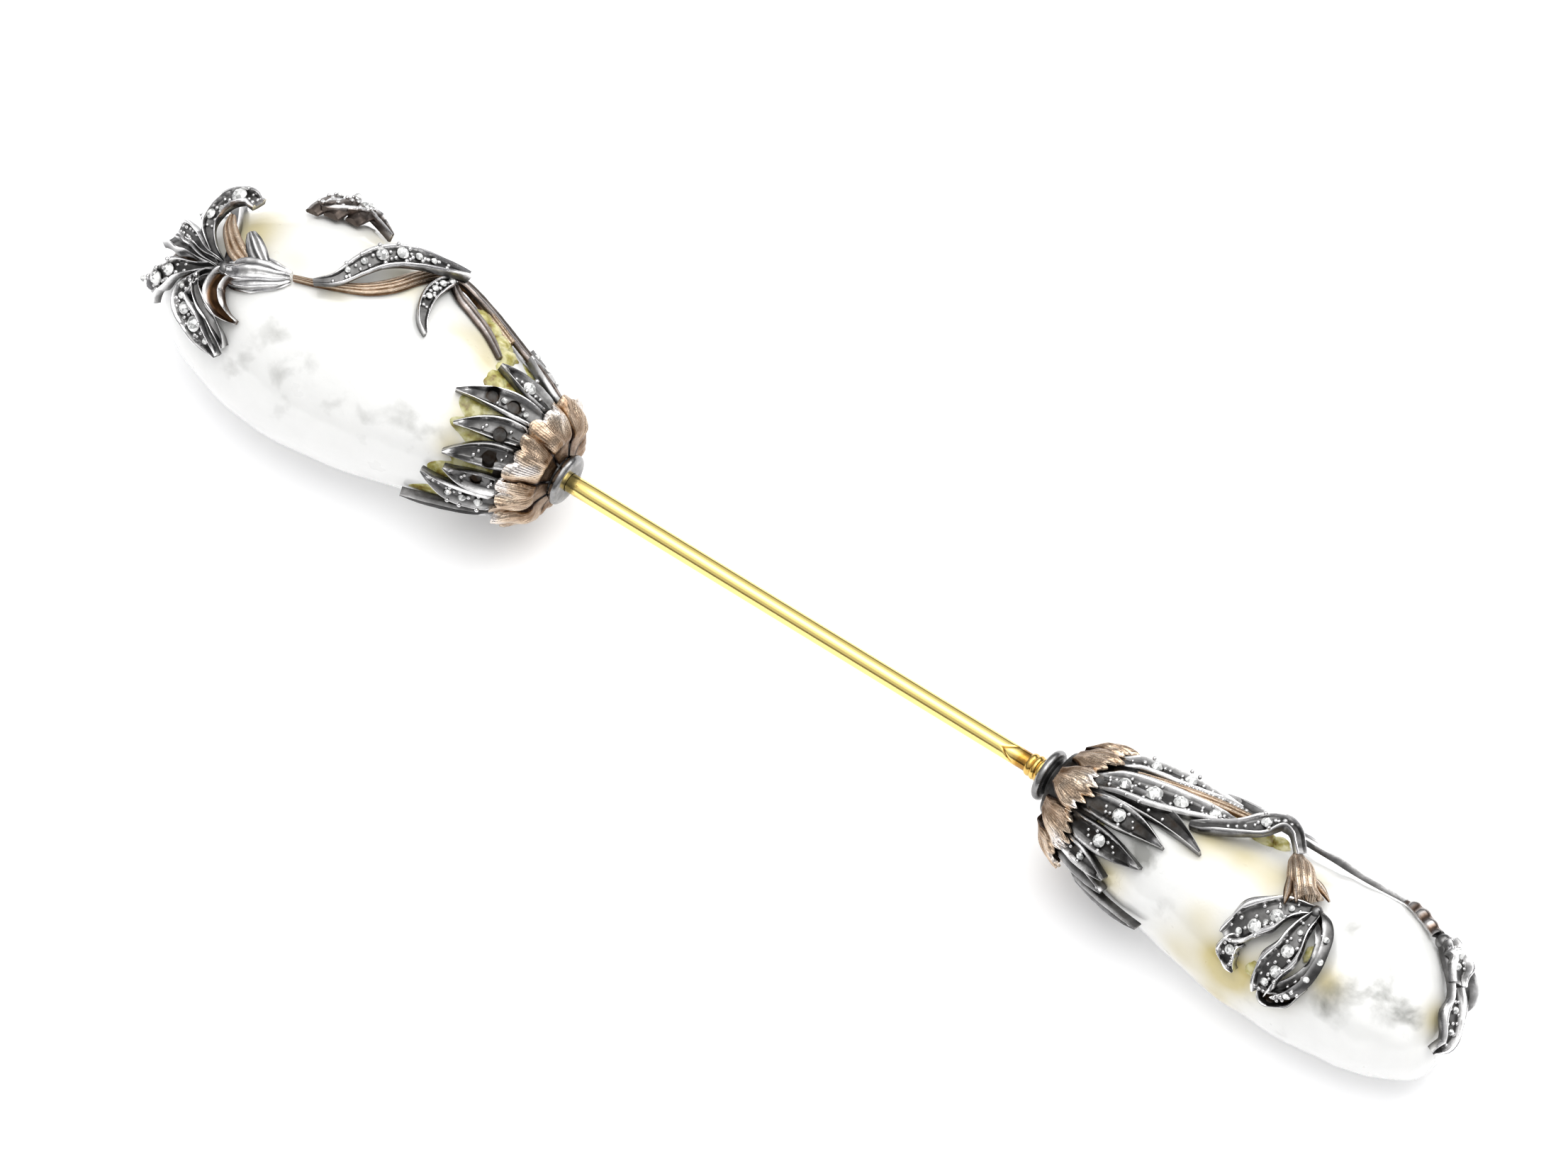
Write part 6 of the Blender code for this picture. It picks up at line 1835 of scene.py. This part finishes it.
class JABOTPIN_OT_pearls(bpy.types.Operator):
    """Make the two baroque pearls"""

    bl_idname = "jabot_pin.pearls"
    bl_label = "Pearls"

    def execute(self, context):
        make_pearl(
            "left_baroque_pearl", LEFT, "left_pearl", LEFT_PEG_RADIUS, LEFT_PEG_END,
            LEFT_GREY_AND_SHADE_STAINS, LEFT_CREAM_STAINS,
        )
        make_pearl(
            "right_baroque_pearl", RIGHT, "right_pearl", RIGHT_PEG_RADIUS, RIGHT_PEG_END,
            RIGHT_GREY_AND_SHADE_STAINS, RIGHT_CREAM_STAINS,
        )
        return {"FINISHED"}


class JABOTPIN_OT_caps(bpy.types.Operator):
    """Make the silver caps with their collars, leaves and empty seats"""

    bl_idname = "jabot_pin.caps"
    bl_label = "Silver caps"

    def execute(self, context):
        bore = ROD_RADIUS + COLLAR_CLEARANCE
        left = collar_profile(LEFT, LEFT_PEG_RADIUS, LEFT_PEG_END, bore, LEFT_BORE_DEPTH)
        make_cap("left_leaf_cap", LEFT, "left_cap", left, LEFT_CAP_LEAVES, LEFT_CUP_SHARE, ())
        right = collar_profile(RIGHT, RIGHT_PEG_RADIUS, RIGHT_PEG_END, SOCKET_RADIUS, SOCKET_DEPTH)
        make_cap(
            "right_leaf_cap", RIGHT, "right_cap", right, RIGHT_CAP_LEAVES, RIGHT_CUP_SHARE,
            (LONG_LEAF, FAR_LEAF),
        )
        return {"FINISHED"}


class JABOTPIN_OT_gold_leaves(bpy.types.Operator):
    """Make the ruffs of gold leaves"""

    bl_idname = "jabot_pin.gold_leaves"
    bl_label = "Gold leaves"

    def execute(self, context):
        # Root and end as shares of the length, turn in degrees, lobes, height of the folds
        left = (0.014, 0.108, -6.0, LEFT_LOBES, 0.36 * MM)
        right = (0.044, 0.148, 7.0, RIGHT_LOBES, 0.20 * MM)
        make_ruff("left_gold_ruff", LEFT, "left_gold_leaves", *left)
        make_ruff("right_gold_ruff", RIGHT, "right_gold_leaves", *right)
        return {"FINISHED"}


class JABOTPIN_OT_stems(bpy.types.Operator):
    """Make the gold stems"""

    bl_idname = "jabot_pin.stems"
    bl_label = "Gold stems"

    def execute(self, context):
        for name, head, node, rows in (
            ("left_gold_stem", LEFT, "left_stem", LEFT_STEM),
            ("right_beaded_stem", RIGHT, "right_gold_stem", RIGHT_GOLD_STEM),
        ):
            stem = (add_ribbed, rows, STEM_THICKNESS, 5, 0.03 * MM, 26, 0.28)
            make_strips(name, head, node, "rose_gold", (stem,))
        return {"FINISHED"}


class JABOTPIN_OT_vines(bpy.types.Operator):
    """Make the silver leaves, the bud and the vines"""

    bl_idname = "jabot_pin.vines"
    bl_label = "Silver leaves and vines"

    def execute(self, context):
        scallops = [(add_dome, rows, 1, 0.04 * MM, 0, 0.55, 0.34) for rows in BUD_SCALLOPS]
        far_vine = ((add_band, FAR_VINE, 0.30 * MM), (add_band, RIGHT_FAR_LINK))
        stems = [(add_ribbed, rows, 0.42 * MM, 3, 0.035 * MM, 20, 0.12) for rows in LEFT_VINES]
        for name, head, node, strips, copper in (
            ("left_arched_leaf", LEFT, "left_vine_leaf", ((add_band, VINE_LEAF),), 0.0),
            ("left_crescent_leaf", LEFT, "left_hook_leaf", ((add_band, HOOK_LEAF),), 0.0),
            ("left_far_bud", LEFT, "left_bud", ((add_band, BUD), *scallops), 0.5),
            ("right_turned_vine", RIGHT, "right_vine", ((add_band, RIGHT_VINE),), 0.0),
            ("right_outer_vine", RIGHT, "right_far_vine", far_vine, 0.0),
            ("left_silver_vines", LEFT, None, stems, 0.55),
        ):
            make_strips(name, head, node, "oxidised_silver", strips, copper)
        return {"FINISHED"}


class JABOTPIN_OT_flowers(bpy.types.Operator):
    """Make the calyxes and the flowers"""

    bl_idname = "jabot_pin.flowers"
    bl_label = "Calyxes and flowers"

    def execute(self, context):
        make_left_calyx()
        make_right_calyxes()
        make_flower("left_iris_flower", LEFT, "left_flower", LEFT_PETALS, LEFT_HEART)
        make_flower("right_drooping_flower", RIGHT, "right_flower", RIGHT_PETALS, RIGHT_HEART)
        make_flower("right_far_end_flower", RIGHT, "right_end_flower", END_PETALS, END_HEART)
        return {"FINISHED"}


class JABOTPIN_OT_rod(bpy.types.Operator):
    """Make the rod and the ferrule"""

    bl_idname = "jabot_pin.rod"
    bl_label = "Rod and ferrule"

    def execute(self, context):
        make_rod()
        make_ferrule()
        return {"FINISHED"}


class JABOTPIN_OT_stones(bpy.types.Operator):
    """Set the stones and raise the grains that hold them"""

    bl_idname = "jabot_pin.stones"
    bl_label = "Stones and grains"

    def execute(self, context):
        make_stones(LEFT, LEFT_STONES)
        make_stones(RIGHT, RIGHT_STONES)
        make_small_stones("left_small_stones", LEFT, LEFT_SMALL_STONES)
        make_small_stones("right_small_stones", RIGHT, RIGHT_SMALL_STONES)
        make_grains("left_grains", LEFT, LEFT_STONES, LEFT_BEADS)
        make_grains("right_grains", RIGHT, RIGHT_STONES, RIGHT_BEADS)
        return {"FINISHED"}


class JABOTPIN_OT_cement(bpy.types.Operator):
    """Spread the old cement that shows between the leaves"""

    bl_idname = "jabot_pin.cement"
    bl_label = "Cement"

    def execute(self, context):
        # How far along the leaves the film runs, and what makes each film uneven
        make_cement("left_cement", LEFT, LEFT_CAP_LEAVES, 0.97, 3.1)
        make_cement("right_cement", RIGHT, RIGHT_CAP_LEAVES, 0.50, 8.4)
        make_puddles("left_cement_drops", LEFT, LEFT_PUDDLES)
        make_puddles("right_cement_drops", RIGHT, RIGHT_PUDDLES)
        return {"FINISHED"}


class JABOTPIN_OT_stage(bpy.types.Operator):
    """Set up the floor, the lights and the camera"""

    bl_idname = "jabot_pin.stage"
    bl_label = "Stage"

    def execute(self, context):
        make_floor()
        make_lights()
        make_camera()
        context.scene.view_settings.view_transform = "Standard"
        return {"FINISHED"}


class JABOTPIN_PT_panel(bpy.types.Panel):
    """Lists the pin's colours, sizes and steps"""

    bl_idname = "JABOTPIN_PT_panel"
    bl_label = "Jabot Pin"
    bl_space_type = "VIEW_3D"
    bl_region_type = "UI"
    bl_category = "Jabot Pin"

    def draw(self, context):
        layout = self.layout
        for group in (colours(), sizes()):
            column = layout.column()
            for name in group.bl_rna.properties.keys():
                if name not in ("rna_type", "name"):
                    column.prop(group, name)
        for step in STEPS:
            layout.operator(step.bl_idname)


STEPS = (
    JABOTPIN_OT_pearls, JABOTPIN_OT_caps, JABOTPIN_OT_gold_leaves, JABOTPIN_OT_stems,
    JABOTPIN_OT_vines, JABOTPIN_OT_flowers, JABOTPIN_OT_rod, JABOTPIN_OT_stones,
    JABOTPIN_OT_cement, JABOTPIN_OT_stage,
)
CLASSES = (PinColours, PinSizes, *STEPS, JABOTPIN_PT_panel)


def register():
    """Add the classes and the scene's settings."""
    for item in CLASSES:
        bpy.utils.register_class(item)
    bpy.types.Scene.jabot_pin_colours = bpy.props.PointerProperty(type=PinColours)
    bpy.types.Scene.jabot_pin_sizes = bpy.props.PointerProperty(type=PinSizes)


def unregister():
    """Take them away again."""
    del bpy.types.Scene.jabot_pin_sizes
    del bpy.types.Scene.jabot_pin_colours
    for item in reversed(CLASSES):
        bpy.utils.unregister_class(item)


def main():
    """Run every step in order."""
    register()
    bpy.ops.jabot_pin.pearls()
    bpy.ops.jabot_pin.caps()
    bpy.ops.jabot_pin.gold_leaves()
    bpy.ops.jabot_pin.stems()
    bpy.ops.jabot_pin.vines()
    bpy.ops.jabot_pin.flowers()
    bpy.ops.jabot_pin.rod()
    bpy.ops.jabot_pin.stones()
    bpy.ops.jabot_pin.cement()
    bpy.ops.jabot_pin.stage()


if __name__ == "__main__":
    main()
